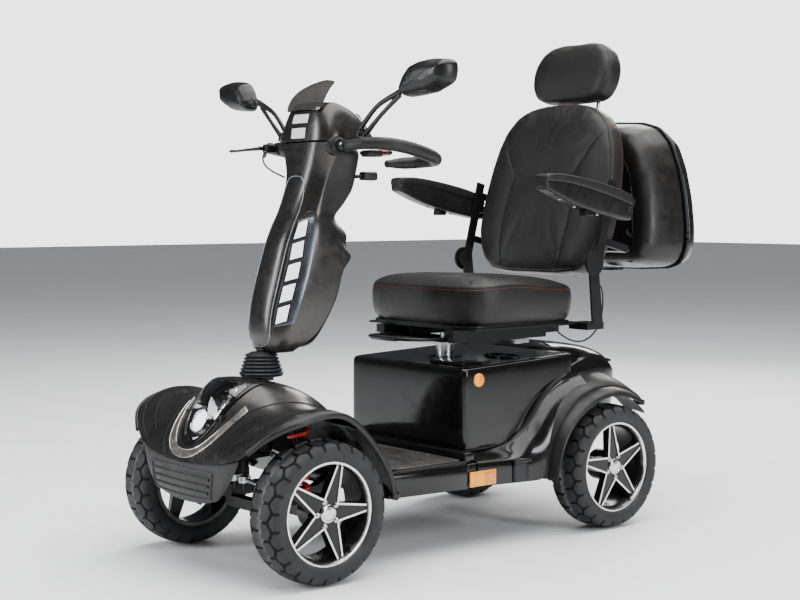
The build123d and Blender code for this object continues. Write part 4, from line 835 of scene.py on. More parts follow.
def make_rim(name, body, node, side, axle, start):
    """Wheel: barrel, bright outer ring, star, hub bolts and domed cap."""
    centre = (side * TRACK_HALF, axle, AXLE_HEIGHT)
    axis = (side, 0, 0)
    barrel = turned(name + "_barrel", [(-46, 118), (-47, 128), (-44, 131), (-40, 126), (-20, 121), (10, 119),
            (34, 121), (42, 126), (46, 130), (47.5, 128), (46.5, 125), (42, 121),
            (34, 116.5), (10, 114), (-20, 115), (-44, 116)], centre, axis, RIM_BLACK, 96, ring=True)
    ring = turned(name + "_ring", [(41, 127.5), (45.5, 130.5), (47.8, 129.5), (48.2, 127), (47, 123.8), (42, 121.5)],
        centre, axis, MACHINED, 96, ring=True)
    star = spoke_star(name + "_star", side, start if side > 0 else 180 - start, centre)
    hub = turned(name + "_hub", [(-30, 36), (-30, 44), (16, 46), (30, 43), (36.5, 39), (36.5, 10)], centre, axis,
        RIM_BLACK, 64)
    cap = turned(name + "_cap", [(36, 24), (40.5, 24), (43, 22.5), (44.5, 20), (44.8, 17), (43.8, 15.5), (44.5, 10),
            (45, 4)], centre, axis, CHROME, 48)
    valve = turned(name + "_valve", [(36, 4), (48, 3.4), (54, 3.4), (54, 2)],
        (centre[0], centre[1] + 62, centre[2] - 88), axis, RUBBER, 16)
    bolts = []
    for k in range(5):
        angle = math.radians(start + 36 + 72 * k)
        spot = (centre[0], centre[1] + 31.5 * math.cos(angle) * side, centre[2] + 31.5 * math.sin(angle))
        bolts.append(turned(f"{name}_bolt_{k}", [(36, 6.5), (38.5, 6.5), (38.5, 5), (42, 5), (43, 4), (43, 2.4),
                (40, 2.2)], spot, axis, CHROME, 18))
    wheel = joined(name, [barrel, ring, star, hub, cap, valve] + bolts)
    return ride(wheel, body, (node,))


tyre_mesh = make_tyre_mesh()
for where, axle, start in (("front", FRONT_AXLE, 0.0), ("rear", REAR_AXLE, 25.0)):
    for side in SIDES:
        body = f"wheel_{where}_{WORDS[side]}"
        rubber = link(bpy.data.objects.new(f"road_tyre_{where}_{WORDS[side]}", tyre_mesh))
        rubber.location = (side * TRACK_HALF * MM, axle * MM, AXLE_HEIGHT * MM)
        bpy.context.view_layer.update()
        ride(rubber, body, (f"tyre_{where}_{WORDS[side]}",))
        make_rim(f"spoked_wheel_{where}_{WORDS[side]}", body, f"rim_{where}_{WORDS[side]}", side, axle, start)


# --------------------------------------------------------------------------
# Coil springs, gaiter and the leads
# --------------------------------------------------------------------------
def coil(name, centre, low, high, radius, wire, turns, material):
    """Coil spring with closed ends."""
    points = []
    steps = 20
    for i in range(int(turns * steps) + 1):
        t = i / (turns * steps)
        rise = min(1.0, max(0.0, (t - 0.08) / 0.84))
        points.append((centre[0] + radius * math.cos(2 * math.pi * i / steps),
                centre[1] + radius * math.sin(2 * math.pi * i / steps),
                low + wire + (high - low - 2 * wire) * rise))
    return hose(name, points, wire, material, sides=10, straight=True)


def make_springs(name, node, at_y, low, high):
    coils = [coil(f"{name}_{WORDS[side]}", (side * 185, at_y), low, high, 24, 5.5, 7.5, SPRING_RED)
        for side in SIDES]
    both = joined(name, coils)
    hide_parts(node)
    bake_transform(both)
    return both


make_springs("front_coils", "front_springs", -615, 200.5, 392)
make_springs("rear_coils", "rear_springs", 340, 198.5, 375)


def make_gaiter():
    """Bellows boot with six folds."""
    profile = [(0, 50), (3, 60)]
    for fold in range(6):
        base = 5 + fold * 9.4
        wide = 60 - fold * 3.2
        profile += [(base, wide - 7), (base + 2.2, wide - 2), (base + 4.6, wide), (base + 7.0, wide - 2),
            (base + 9.0, wide - 9)]
    profile += [(63, 30), (66, 30)]
    boot = turned("steering_boot", profile, (0, -600, 486), (0, 0, 1), RUBBER, 56, sharp=60.0)
    boot = subdivided(boot, 1, 60.0)
    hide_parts("steering_gaiter")
    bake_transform(boot)
    return boot


make_gaiter()

BRAKE_CABLE = [(-156, -480, 1080), (-151, -488, 1068), (-141, -494, 1054), (-126, -495, 1040),
    (-108, -489, 1028), (-92, -478, 1018), (-80, -465, 1010)]
SEAT_LEAD = [(267, 404, 706), (259, 424, 702), (252, 440, 684), (247, 449, 650), (242, 450, 612), (235, 441, 576),
    (226, 421, 548), (215, 394, 534), (203, 362, 538), (193, 334, 554), (187, 312, 572), (185, 300, 588)]
for name, route, body, node in (("brake_wire", BRAKE_CABLE, "tiller", "brake_cable"),
    ("seat_lead", SEAT_LEAD, "seat", "seat_cable")):
    wire = curve_line(name, route, 2.5, order=3)
    wire.data.materials.append(SHEATH)
    wire = settle(wire, 60.0)
    ride(wire, body, (node,))


# --------------------------------------------------------------------------
# Tiller
# --------------------------------------------------------------------------
COVER_RINGS = {
    552: [(0, -600), (24, -600), (40, -597), (48, -592), (56, -584), (61, -574), (62, -560), (62, -544)],
    575: [(0, -609), (28, -608), (44, -604), (52, -600), (68, -588), (75, -572), (77, -552), (77, -512)],
    600: [(0, -615), (30, -614), (46, -609), (54, -604), (74, -588), (83, -570), (85, -545), (85, -477)],
    650: [(0, -612), (32, -611), (49, -604), (57, -597), (79, -575), (90, -555), (93, -530), (93, -447)],
    700: [(0, -603), (33, -601), (51, -593), (59, -586), (82, -562), (94, -540), (97, -515), (97, -424)],
    765: [(0, -583), (34, -581), (52, -572), (60, -565), (83, -540), (95, -517), (98, -490), (98, -404)],
    811: [(0, -570), (33, -568), (50, -559), (58, -552), (80, -528), (93, -506), (97, -478), (97, -391)],
    850: [(0, -557), (32, -555), (48, -546), (55, -540), (76, -518), (89, -498), (93, -484), (93, -471)],
    890: [(0, -537), (31, -535), (46, -527), (53, -521), (70, -503), (82, -486), (86, -475), (86, -466)],
    912: [(0, -524), (30, -522), (45, -515), (52, -509), (62, -497), (71, -484), (75, -474), (76, -464)],
    960: [(0, -503), (30, -501), (46, -494), (54, -488), (66, -476), (75, -464), (78, -457), (78, -453)],
    1015: [(0, -484), (32, -483), (50, -478), (60, -472), (72, -462), (80, -452), (84, -446), (84, -440)],
    1060: [(0, -481), (36, -480), (58, -476), (72, -470), (86, -460), (95, -449), (99, -440), (99, -428)],
    1100: [(0, -480), (40, -480), (66, -477), (82, -471), (98, -460), (108, -447), (111, -436), (111, -418)]}
REAR_COVER = [  # height, rear face, half width at the rear
    (556, -478, 44), (580, -456, 56), (612, -440, 62), (650, -424, 66), (690, -400, 68), (735, -392, 68),
    (764, -386, 66), (778, -360, 60), (794, -338, 56), (806, -346, 58), (829, -362, 60), (850, -352, 60),
    (868, -362, 60), (893, -398, 58), (912, -392, 58), (931, -369, 58), (955, -352, 60), (979, -334, 62),
    (1016, -328, 64), (1060, -322, 72), (1100, -330, 86)]


def half_ring(height, pairs):
    right = [(-x, y, height) for x, y in reversed(pairs[1:])]
    return right + [(x, y, height) for x, y in pairs]


def make_front_cover():
    rings = [half_ring(z, pairs) for z, pairs in COVER_RINGS.items()]
    floor = [(p[0] * 0.8, p[1] + 8, 549) for p in rings[0]]
    pod_rings = range(3, 10)

    def crisp(kind, ring, point):
        if kind == "along" and ring in pod_rings and point in (2, 4, 10, 12):
            return 0.75
        if kind == "across" and ring == 9 and (point in (2, 3) or point in (10, 11)):
            return 0.8
        return 0.0

    return skin("tiller_nose_cover", [floor] + rings, BODY_SATIN, closed=False, sharp=40.0, levels=3,
        creases=crisp)


def seam_depth(height):
    """Where the side edge of the front cover runs at a height."""
    heights = sorted(COVER_RINGS)
    return (float(np.interp(height, heights, [COVER_RINGS[h][-1][0] for h in heights])),
        float(np.interp(height, heights, [COVER_RINGS[h][-1][1] for h in heights])))


def make_rear_cover():
    rings = []
    for height, rear, back in REAR_COVER:
        wide, seam = seam_depth(height)
        wide -= 3.0
        seam = min(seam, rear - 14)
        ring = [(wide, seam - 26), (wide, seam), (wide - 1, (seam + rear) / 2 - 2), (back + 4, rear - 9),
            (back - 8, rear), (back * 0.4, rear + 2)]
        full = [(x, y, height) for x, y in ring] + [(-x, y, height) for x, y in reversed(ring)]
        rings.append(full)
    return skin("tiller_back_cover", rings, DARK_SATIN, levels=2, closed=True, caps=True, sharp=35.0)


front_cover = make_front_cover()
cover_face = surface_of(front_cover)
front_cover = thicken(front_cover, 3.0)
ride(front_cover, "tiller", ("tiller_front_cover",))
rear_cover = make_rear_cover()
ride(rear_cover, "tiller", ("tiller_rear_cover",))


def make_tiller_head():
    rows = [(1099, -480, -330, 112), (1106, -480, -324, 114), (1128, -478, -318, 112), (1150, -474, -316, 106),
        (1172, -468, -336, 99), (1190, -462, -362, 92), (1203, -454, -392, 82), (1209, -446, -402, 72)]
    rings = []
    for z, yf, yr, w in rows:
        deep = yr - yf
        half = [(0, yf), (w * 0.42, yf + 1), (w * 0.70, yf + 6), (w * 0.90, yf + 20), (w, yf + 44),
            (w, yf + deep * 0.72), (w * 0.93, yr - 8), (w * 0.78, yr), (w * 0.4, yr + 1), (0, yr + 1)]
        rings.append([(x, y, z) for x, y in half] + [(-x, y, z) for x, y in reversed(half[1:-1])])
    return skin("tiller_head", rings, BODY_SATIN, levels=2, sharp=35.0)


head = make_tiller_head()
head_face = surface_of(head)
ride(head, "tiller", ())
labels = []
for k, (low, high, half) in enumerate(((1112, 1140, 30), (1154, 1180, 34))):
    sides = [[(s * half, -480, z) for z in (low, (low + high) / 2, high)] for s in (1, -1)]
    labels.append(ribbon(f"blank_label_{k}", head_face, sides, 1.0, LABEL, gap=6.0, edge=0.4, fillers=8))
ride(joined("blank_labels", labels), "tiller", ())


def pod_point(height, out):
    """Point on the side pod: out 0 at the inner crease, 1 at the side edge."""
    heights = sorted(COVER_RINGS)
    inner = [np.interp(height, heights, [COVER_RINGS[h][3][k] for h in heights]) for k in (0, 1)]
    outer = [np.interp(height, heights, [COVER_RINGS[h][5][k] for h in heights]) for k in (0, 1)]
    return (inner[0] + (outer[0] - inner[0]) * out, inner[1] + (outer[1] - inner[1]) * out, height)


def make_tiller_details():
    parts = []
    oval = [(x, np.interp(z, sorted(COVER_RINGS), [COVER_RINGS[h][2][1] for h in sorted(COVER_RINGS)]), z)
        for x, z in ((0, 566), (30, 572), (46, 592), (50, 650), (52, 730), (51, 811), (49, 880), (47, 940),
            (40, 985), (22, 1008))]
    outline = oval + mirrored(reversed(oval[1:]))
    parts.append(bead("insert_outline", cover_face, outline, 1.3, SILVER_LINE, lift=0.2, closed=True))
    for side in SIDES:
        rim_line = [pod_point(z, t) for z, t in ((606, 0.05), (640, 0.02), (700, 0.02), (765, 0.02), (830, 0.02),
                (872, 0.05), (905, 0.30), (918, 0.75), (914, 1.1))]
        rim_line = [(side * x, y, z) for x, y, z in rim_line]
        # Darker beads along the pod creases: painted shade.
        parts.append(bead(f"pod_edge_{WORDS[side]}", cover_face, rim_line, 2.4, BODY_CREASE_SHADE, lift=0.2))
        inner = [(side * x, y, z) for x, y, z in (pod_point(z, 0.04) for z in (618, 680, 740, 800, 850, 894))]
        outer = [(side * x, y, z) for x, y, z in (pod_point(z, t) for z, t in (
                (628, 1.10), (672, 1.12), (735, 1.12), (800, 1.12), (850, 1.12), (904, 1.06)))]
        # Pod faces in the lighter bluish paint: painted highlight.
        parts.append(ribbon(f"pod_face_{WORDS[side]}", cover_face, [inner, outer], 2.2, POD_HIGHLIGHT, edge=0.8))
    details = joined("tiller_trim", parts)
    ride(details, "tiller", ())
    return details


def make_tiller_windows():
    """Five lit windows down each side pod, in dark frames."""
    parts = []
    heights = (648, 703, 758, 813, 867)
    for side in SIDES:
        for k, height in enumerate(heights):
            low, high = height - 22, height + 20
            slant = 9
            corners = [pod_point(low, 0.12), pod_point(low + slant, 0.64), pod_point(high + slant, 0.62),
                pod_point(high, 0.12)]
            frame_corners = [pod_point(low - 3, 0.06), pod_point(low + slant - 3, 0.71),
                pod_point(high + slant + 3, 0.68), pod_point(high + 3, 0.07)]
            for label, spots, lift, material in (("frame", frame_corners, 3.0, BODY_GLOSS),
                ("window", corners, 4.0, LED_WHITE)):
                spots = [(side * x, y, z) for x, y, z in spots]
                parts.append(ribbon(f"{label}_{WORDS[side]}_{k}", cover_face, [(spots[0], spots[3]),
                        (spots[1], spots[2])], lift, material, gap=5.0, smooth=False, fillers=4, edge=0.9))
    windows = joined("running_lights", parts)
    ride(windows, "tiller", ("tiller_lamps",))


# Lighter bluish copy of the satin paint on the pod faces: painted highlight.
POD_HIGHLIGHT = finish("pod face painted highlight", (0.070, 0.078, 0.092), 0.28, 0.8, tone=0.22, size=5.0,
    sockets={"Coat Weight": 0.4, "Coat Roughness": 0.15})
make_tiller_details()
make_tiller_windows()


def make_windscreen():
    """Small smoked screen leaning back from the head."""
    rows = [(1188, -472, 74), (1208, -466, 78), (1232, -452, 76), (1254, -430, 66),
        (1268, -402, 48), (1272, -384, 26)]
    rings = [[(w * t, y + 10 * abs(t) ** 2.2, z - 5 * abs(t) ** 2) for t in (-1, -0.66, -0.33, 0, 0.33, 0.66, 1)]
        for z, y, w in rows]
    screen = skin("smoked_screen", rings, SMOKE, closed=False, thick=3.5, sharp=50.0)
    ride(screen, "tiller", ("windscreen",))


make_windscreen()


def make_dash():
    """Sloping panel behind the head with a display, keys, dial and key switch."""
    parts = []
    low, high = [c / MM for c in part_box("dash_panel")[0]], [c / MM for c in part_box("dash_panel")[1]]
    mid = [(a + b) / 2 for a, b in zip(low, high)]
    slope = math.atan2(high[2] - low[2], high[1] - low[1])
    across, along = Vector((1, 0, 0)), Vector((0, math.cos(slope), -math.sin(slope)))
    out = across.cross(-along)
    wide, deep = (high[0] - low[0]) * 0.46, math.hypot(high[1] - low[1], high[2] - low[2]) * 0.42

    def at(u, v, lift=0.0):
        return Vector(mid) + across * u + (-along) * v + out * lift

    parts.append(plate("dash_face", round_corners([(-wide, -deep), (wide, -deep), (wide * 0.8, deep),
            (-wide * 0.8, deep)], 12), at(0, 0, -4), across, -along, 8, DARK_SATIN, 2.0))
    parts.append(plate("dash_display", round_corners([(-26, -10), (26, -10), (24, 16), (-24, 16)], 4),
            at(0, deep * 0.35, 3), across, -along, 2.5, DISPLAY, 0.6))
    for k in range(-2, 3):
        parts.append(plate(f"dash_key_{k}", round_corners([(-7, -5), (7, -5), (7, 5), (-7, 5)], 2.5),
                at(k * 20, -deep * 0.28, 3), across, -along, 3, RUBBER, 0.8))
    parts.append(turned("speed_dial", [(3, 14), (8, 14), (16, 12), (18, 10), (18, 3)], at(-32, -deep * 0.68), out,
            ARM_PLASTIC, 32))
    parts.append(turned("key_switch", [(3, 10), (7, 10), (8, 8), (6.5, 7), (6.5, 2)], at(32, -deep * 0.68), out,
            CHROME, 32))
    dash = joined("dash_board", parts)
    ride(dash, "tiller", ("dash_panel",))


make_dash()

BAR_Y, BAR_Z = -434.0, 1090.0
LOOP = [(104, 0, 0), (126, 0, 0), (150, 0, 0), (178, 0, 0), (218, 16, 4), (250, 62, 2), (258, 120, -6),
    (256, 176, -18), (242, 222, -28), (212, 252, -35), (178, 248, -38), (150, 236, -40), (130, 204, -42),
    (116, 166, -44)]


def make_handlebar():
    """Soft hand loops that flatten into a palm rest at their free end, with clamps and collars."""
    parts = []
    for side in SIDES:
        points = [(side * x, BAR_Y + y, BAR_Z + z) for x, y, z in LOOP]
        radii = [13, 13, 13, 14, 16, 17, 17.5, 18, 18, 18, 18, 18, 17, 11]
        flats = [1, 1, 1, 1, 1, 1, 1, 0.98, 0.95, 0.92, 0.9, 0.9, 0.9, 0.85]
        parts.append(hose(f"loop_{WORDS[side]}", points, radii, GRIP, sides=20, steps=8, flat=flats))
        start = (side * 96, BAR_Y, BAR_Z)
        parts.append(turned(f"collar_{WORDS[side]}", [(0, 26), (14, 26), (16, 24.5), (18, 24.5), (19, 21), (30, 21),
                (32, 19), (32, 12)], start, (side, 0, 0), DARK_SATIN, 40))
        parts.append(turned(f"clamp_{WORDS[side]}", [(44, 14), (45, 17), (60, 17), (61, 14)], start, (side, 0, 0),
                STEEL_BLACK, 32))
        parts.append(screw(f"clamp_screw_{WORDS[side]}", (side * 148, BAR_Y - 15, BAR_Z + 4), (0, -1, 0), 4, ZINC))
        end = LOOP[-1]
        parts.append(turned(f"loop_end_{WORDS[side]}", [(-2, 11), (3, 9.5), (6, 6), (7.5, 2)],
                (side * end[0], BAR_Y + end[1], BAR_Z + end[2]), (-side * 0.35, -0.93, -0.05), GRIP, 24,
                sharp=70.0))
    bar = joined("hand_loops", parts)
    ride(bar, "tiller", ("handlebar",))
    parts = [block("switch_body", (146, BAR_Y + 52, 1061), (192, BAR_Y + 92, 1079), ARM_PLASTIC, 4),
        block("switch_flag", (150, BAR_Y + 88, 1065), (186, BAR_Y + 126, 1080), ORANGE, 5)]
    switch = joined("switch_under_bar", parts)
    ride(switch, "tiller", ())


make_handlebar()


# --------------------------------------------------------------------------
# Seat
# --------------------------------------------------------------------------
LEAN = math.radians(14)
RECLINER = (373.0, 768.0)


def leaned(point):
    """Place on the leaning back: (x, depth, height up the back) to the shared frame."""
    x, depth, height = point
    return (x, RECLINER[0] + depth * math.cos(LEAN) + height * math.sin(LEAN),
        RECLINER[1] - depth * math.sin(LEAN) + height * math.cos(LEAN))


def inset(outline, distance):
    """Outline of (u, v) pairs pulled in by a distance."""
    pts = np.array(outline, float)
    ahead = np.roll(pts, -1, axis=0) - np.roll(pts, 1, axis=0)
    normal = np.column_stack([ahead[:, 1], -ahead[:, 0]])
    normal /= np.linalg.norm(normal, axis=1)[:, None] + 1e-9
    area = 0.5 * np.sum(pts[:, 0] * np.roll(pts[:, 1], -1) - np.roll(pts[:, 0], -1) * pts[:, 1])
    return pts - normal * (distance if area > 0 else -distance)


def inflate(obj, held, pressure, reach):
    """Blow the cover up over its filling, held where it is sewn; no point moves further than reach."""
    modified(obj, "REMESH", mode="VOXEL", voxel_size=0.0056)
    modified(obj, "SMOOTH", factor=0.5, iterations=4)
    obj = settle(obj)
    start = np.array([v.co for v in obj.data.vertices])
    group = obj.vertex_groups.new(name="sewn")
    for index, point in enumerate(start):
        hold = held(point / MM)
        if hold > 0:
            group.add([index], hold, "REPLACE")
    cloth = obj.modifiers.new("cloth", "CLOTH")
    cloth.settings.quality = 5
    cloth.settings.mass = 0.25
    cloth.settings.tension_stiffness = 18
    cloth.settings.compression_stiffness = 18
    cloth.settings.shear_stiffness = 8
    cloth.settings.bending_stiffness = 2.0
    cloth.settings.use_pressure = True
    cloth.settings.uniform_pressure_force = pressure
    cloth.settings.effector_weights.gravity = 0.0
    cloth.settings.vertex_group_mass = "sewn"
    cloth.point_cache.frame_start = 1
    cloth.point_cache.frame_end = 20
    for frame_number in range(1, 21):
        scene.frame_set(frame_number)
    graph = bpy.context.evaluated_depsgraph_get()
    moved = obj.evaluated_get(graph).to_mesh()
    after = np.array([v.co for v in moved.vertices])
    scene.frame_set(1)
    obj.modifiers.remove(cloth)
    shift = after - start
    size = np.linalg.norm(shift, axis=1)
    limit = np.minimum(1.0, reach * MM / np.maximum(size, 1e-9))
    shift *= limit[:, None]
    for vertex, point in zip(obj.data.vertices, start + shift):
        vertex.co = point
    obj.data.update()
    modified(obj, "SMOOTH", factor=0.4, iterations=2)
    modified(obj, "SUBSURF", levels=1, render_levels=1)
    return settle(obj)


def near_line(point, line, width):
    gaps = np.linalg.norm(line - point, axis=1)
    return float(np.clip(1.6 - gaps.min() / width, 0.0, 1.0))


def groove(obj, lines, width, depth):
    """Draw the cover in along its seams."""
    marks = np.vstack([spaced(line, 2.5) for line in lines])
    points = np.array([v.co for v in obj.data.vertices]) / MM
    normals = np.array([v.normal for v in obj.data.vertices])
    for start in range(0, len(points), 4000):
        piece = points[start:start + 4000]
        gaps = np.sqrt(((piece[:, None, :] - marks[None, :, :]) ** 2).sum(axis=2)).min(axis=1)
        pull = depth * np.exp(-(gaps / width) ** 2)
        points[start:start + 4000] = piece - normals[start:start + 4000] * pull[:, None]
    for vertex, point in zip(obj.data.vertices, points):
        vertex.co = point * MM
    obj.data.update()
    obj.data.shade_smooth()


def pad_from(name, outline, layers, place, material):
    """Closed start shape: the outline pulled in by each layer's inset, at its depth."""
    rings = [[place((u, depth, v)) for u, v in inset(outline, pull)] for pull, depth in layers]
    shape = skin(name, rings, material, levels=1)
    return shape


CUSHION_OUTLINE = [(0, -66), (90, -64), (160, -58), (208, -44), (236, -16), (246, 30), (246, 100), (244, 180),
    (240, 260), (232, 320), (212, 352), (160, 362), (80, 364)]
CUSHION_OUTLINE = CUSHION_OUTLINE + [(0, 364)] + [(-x, y) for x, y in reversed(CUSHION_OUTLINE[1:])]
CUSHION_OUTLINE = [tuple(p) for p in spaced([(x * 1.035, y - 8) for x, y in CUSHION_OUTLINE], 16.0, True)]


def crown(x, y):
    """Height of the seat's top: raised front roll, a dip behind the cross seam, and low rear corners."""
    front = 9 * math.exp(-((y - 70) / 90) ** 2)
    dip = -7 * math.exp(-((y - 250) / 110) ** 2) * math.exp(-(x / 170) ** 2)
    rear = -15 * max(0.0, (y - 150) / 214) * min(1.0, abs(x) / 240) ** 2
    return front + dip + rear


def make_seat_cushion():
    def place(layer_point):
        u, height, v = layer_point
        share = max(0.0, (height - 640) / 90)
        return (u, v, height + crown(u, v) * share)

    layers = [(120, 598), (40, 598), (14, 602), (3, 618), (-1, 645), (-3, 672), (0, 700), (3, 706), (14, 716),
        (40, 723), (80, 727), (140, 728)]
    side_seam = np.array([place((u, 705, v)) for u, v in inset(CUSHION_OUTLINE, 1.0)])
    low_seam = np.array([place((u, 602, v)) for u, v in inset(CUSHION_OUTLINE, 12)])
    cross = np.array([(x, 88 - 26 * (1 - (x / 200) ** 2), 728 + crown(x, 88)) for x in range(-215, 216, 5)], float)
    line = np.vstack([spaced(side_seam, 4.0, True), spaced(low_seam, 4.0, True), cross])

    def held(point):
        return 1.0 if point[2] < 600.5 else near_line(point, line, 5.0)

    shape = pad_from("seat_pad", CUSHION_OUTLINE, layers, place, LEATHER)
    pad = inflate(shape, held, 4.0, 24)
    groove(pad, [np.vstack([side_seam, side_seam[:1]]), cross], 3.2, 3.0)
    tree = surface_of(pad)
    ride(pad, "seat", ("seat_cushion",))
    above = [(p[0], p[1], p[2] + 5.5) for p in side_seam]
    trims = [bead("seat_side_seam", tree, side_seam, 1.0, DARK_SEAM_AND_CREASE_SHADE, closed=True, gap=5.0),
        stitches("seat_side_stitches", tree, [(p[0], p[1], p[2] - 5) for p in side_seam], THREAD, closed=True),
        stitches("seat_top_stitches", tree, above, DARK_SEAM_AND_CREASE_SHADE, closed=True),
        bead("seat_cross_seam", tree, cross, 1.0, DARK_SEAM_AND_CREASE_SHADE, gap=5.0),
        stitches("seat_cross_stitches", tree, cross + np.array([0, 5, 0]), DARK_SEAM_AND_CREASE_SHADE)]
    ride(joined("seat_pad_sewing", trims), "seat", ())
    tray = plate("seat_tray", round_corners([(-226, -50), (226, -50), (226, 345), (-226, 345)], 40), (0, 0, 593),
        (1, 0, 0), (0, 1, 0), 9, STEEL_BLACK, 1.0)
    ride(tray, "seat", ())


make_seat_cushion()

BACK_OUTLINE = [(0, 508), (60, 506), (116, 496), (168, 468), (206, 424), (229, 366), (242, 300), (249, 230),
    (250, 160), (246, 100), (230, 48), (206, 10), (170, -16), (100, -24)]
BACK_OUTLINE = BACK_OUTLINE + [(0, -24)] + [(-x, z) for x, z in reversed(BACK_OUTLINE[1:])]
BACK_OUTLINE = [tuple(p) for p in spaced([(x * 1.055, z - 4) for x, z in BACK_OUTLINE], 16.0, True)]


def make_backrest():
    def place(layer_point):
        u, depth, v = layer_point
        face = max(0.0, 1 - depth / 60)
        hollow = -9 * math.exp(-((abs(u) - 150) / 50) ** 2) * face
        lumbar = -5 * math.exp(-((v - 120) / 90) ** 2) * face
        return leaned((u, depth + hollow + lumbar, v))

    layers = [(150, 12), (100, 11), (60, 10), (30, 13), (12, 20), (3, 30), (0, 42), (0, 60), (0, 78), (5, 90),
        (18, 97), (60, 99), (120, 99)]
    front_seam = np.array([place((u, 30, v)) for u, v in inset(BACK_OUTLINE, 3)])
    rear_seam = np.array([place((u, 84, v)) for u, v in inset(BACK_OUTLINE, 1)])
    shield = np.array([place((x, 11, z)) for x, z in ((-218, 408), (-196, 382), (-168, 340), (-140, 296),
            (-112, 272), (-70, 266), (0, 265), (70, 266), (112, 272),
            (140, 296), (168, 340), (196, 382), (218, 408))])
    panels = [np.array([place((s * x, 11, z)) for x, z in ((124, 272), (134, 210), (138, 140), (134, 70),
            (120, -14))]) for s in SIDES]
    sewn = np.vstack([spaced(front_seam, 4.0, True), spaced(rear_seam, 4.0, True), spaced(smooth_line(shield), 4.0)]
        + [spaced(smooth_line(p), 4.0) for p in panels])

    def held(point):
        y, z = point[1] - RECLINER[0], point[2] - RECLINER[1]
        depth = y * math.cos(LEAN) - z * math.sin(LEAN)
        return 1.0 if depth > 96 else near_line(point, sewn, 5.0)

    shape = pad_from("back_pad", BACK_OUTLINE, layers, place, LEATHER)
    pad = inflate(shape, held, 4.0, 22)
    groove(pad, [np.vstack([front_seam, front_seam[:1]]), np.vstack([rear_seam, rear_seam[:1]]),
            smooth_line(shield)] + [smooth_line(p) for p in panels], 3.4, 3.2)
    tree = surface_of(pad)
    ride(pad, "seat_back", ("backrest",))
    trims = [bead("back_front_seam", tree, front_seam, 1.0, DARK_SEAM_AND_CREASE_SHADE, closed=True, gap=5.0),
        stitches("back_front_stitches", tree, [place((u, 36, v)) for u, v in inset(BACK_OUTLINE, 1)], THREAD,
            closed=True), bead("back_rear_seam", tree, rear_seam, 1.0, DARK_SEAM_AND_CREASE_SHADE, closed=True, gap=5.0),
        stitches("back_rear_stitches", tree, [place((u, 78, v)) for u, v in BACK_OUTLINE], THREAD, closed=True),
        bead("back_shield_seam", tree, shield, 1.1, DARK_SEAM_AND_CREASE_SHADE, gap=5.0)]
    for k, line in enumerate(panels):
        trims.append(bead(f"back_panel_seam_{k}", tree, line, 0.9, DARK_SEAM_AND_CREASE_SHADE, gap=5.0))
        trims.append(stitches(f"back_panel_stitches_{k}", tree, line + np.array([4 if k == 0 else -4, 0, 0]),
                DARK_SEAM_AND_CREASE_SHADE))
    ride(joined("back_pad_sewing", trims), "seat_back", ())
    shell = plate("back_shell", [tuple(p) for p in inset(BACK_OUTLINE, 24)], leaned((0, 97, 0)), (-1, 0, 0),
        (0, math.sin(LEAN), math.cos(LEAN)), 4, DARK_SATIN, 1.5)
    ride(shell, "seat_back", ())


make_backrest()


def make_headrest():
    half = [(0, 700), (60, 702), (104, 694), (136, 672), (156, 636), (162, 600), (156, 562), (138, 530),
        (110, 518), (50, 515)]
    outline = half + [(0, 515)] + [(-x, z) for x, z in reversed(half[1:])]
    outline = [tuple(p) for p in spaced(outline, 13.0, True)]

    def place(layer_point):
        u, depth, v = layer_point
        wrap = 16 * (u / 160) ** 2 * max(0.0, 1 - (depth - 34) / 80)
        return leaned((u, depth - 6 + wrap * -0.6 + 8, v + 3))

    layers = [(90, 38), (50, 36), (24, 37), (8, 44), (0, 56), (0, 74), (0, 94), (6, 106), (20, 113), (60, 116)]
    seam = np.array([place((u, 52, v)) for u, v in inset(outline, 1)])
    rear_seam = np.array([place((u, 100, v)) for u, v in inset(outline, 2)])
    sewn = np.vstack([spaced(seam, 4.0, True), spaced(rear_seam, 4.0, True)])
    shape = pad_from("head_pad", outline, layers, place, LEATHER)
    pad = inflate(shape, lambda point: near_line(point, sewn, 5.0), 4.0, 22)
    groove(pad, [np.vstack([seam, seam[:1]]), np.vstack([rear_seam, rear_seam[:1]])], 3.0, 2.6)
    tree = surface_of(pad)
    ride(pad, "headrest", ("headrest",))
    parts = [bead("head_seam", tree, seam, 0.9, DARK_SEAM_AND_CREASE_SHADE, closed=True, gap=4.0),
        bead("head_rear_seam", tree, rear_seam, 0.9, DARK_SEAM_AND_CREASE_SHADE, closed=True, gap=4.0),
        stitches("head_stitches", tree, [place((u, 57, v)) for u, v in outline], DARK_SEAM_AND_CREASE_SHADE, closed=True)]
    ride(joined("head_pad_sewing", parts), "headrest", ())
    posts = []
    for side in SIDES:
        foot, top = Vector(leaned((side * 80, 114, 332))), Vector(leaned((side * 80, 106, 545)))
        posts.append(hose(f"post_{WORDS[side]}", [tuple(foot), tuple(top)], 5.5, CHROME, straight=True))
        posts.append(turned(f"post_guide_{WORDS[side]}", [(0, 15), (3, 16), (9, 15), (12, 11), (12, 6)],
                leaned((side * 80, 100, 482)), (0, math.sin(LEAN), math.cos(LEAN)), ARM_PLASTIC, 32))
    ride(joined("headrest_posts", posts), "headrest", ())


make_headrest()


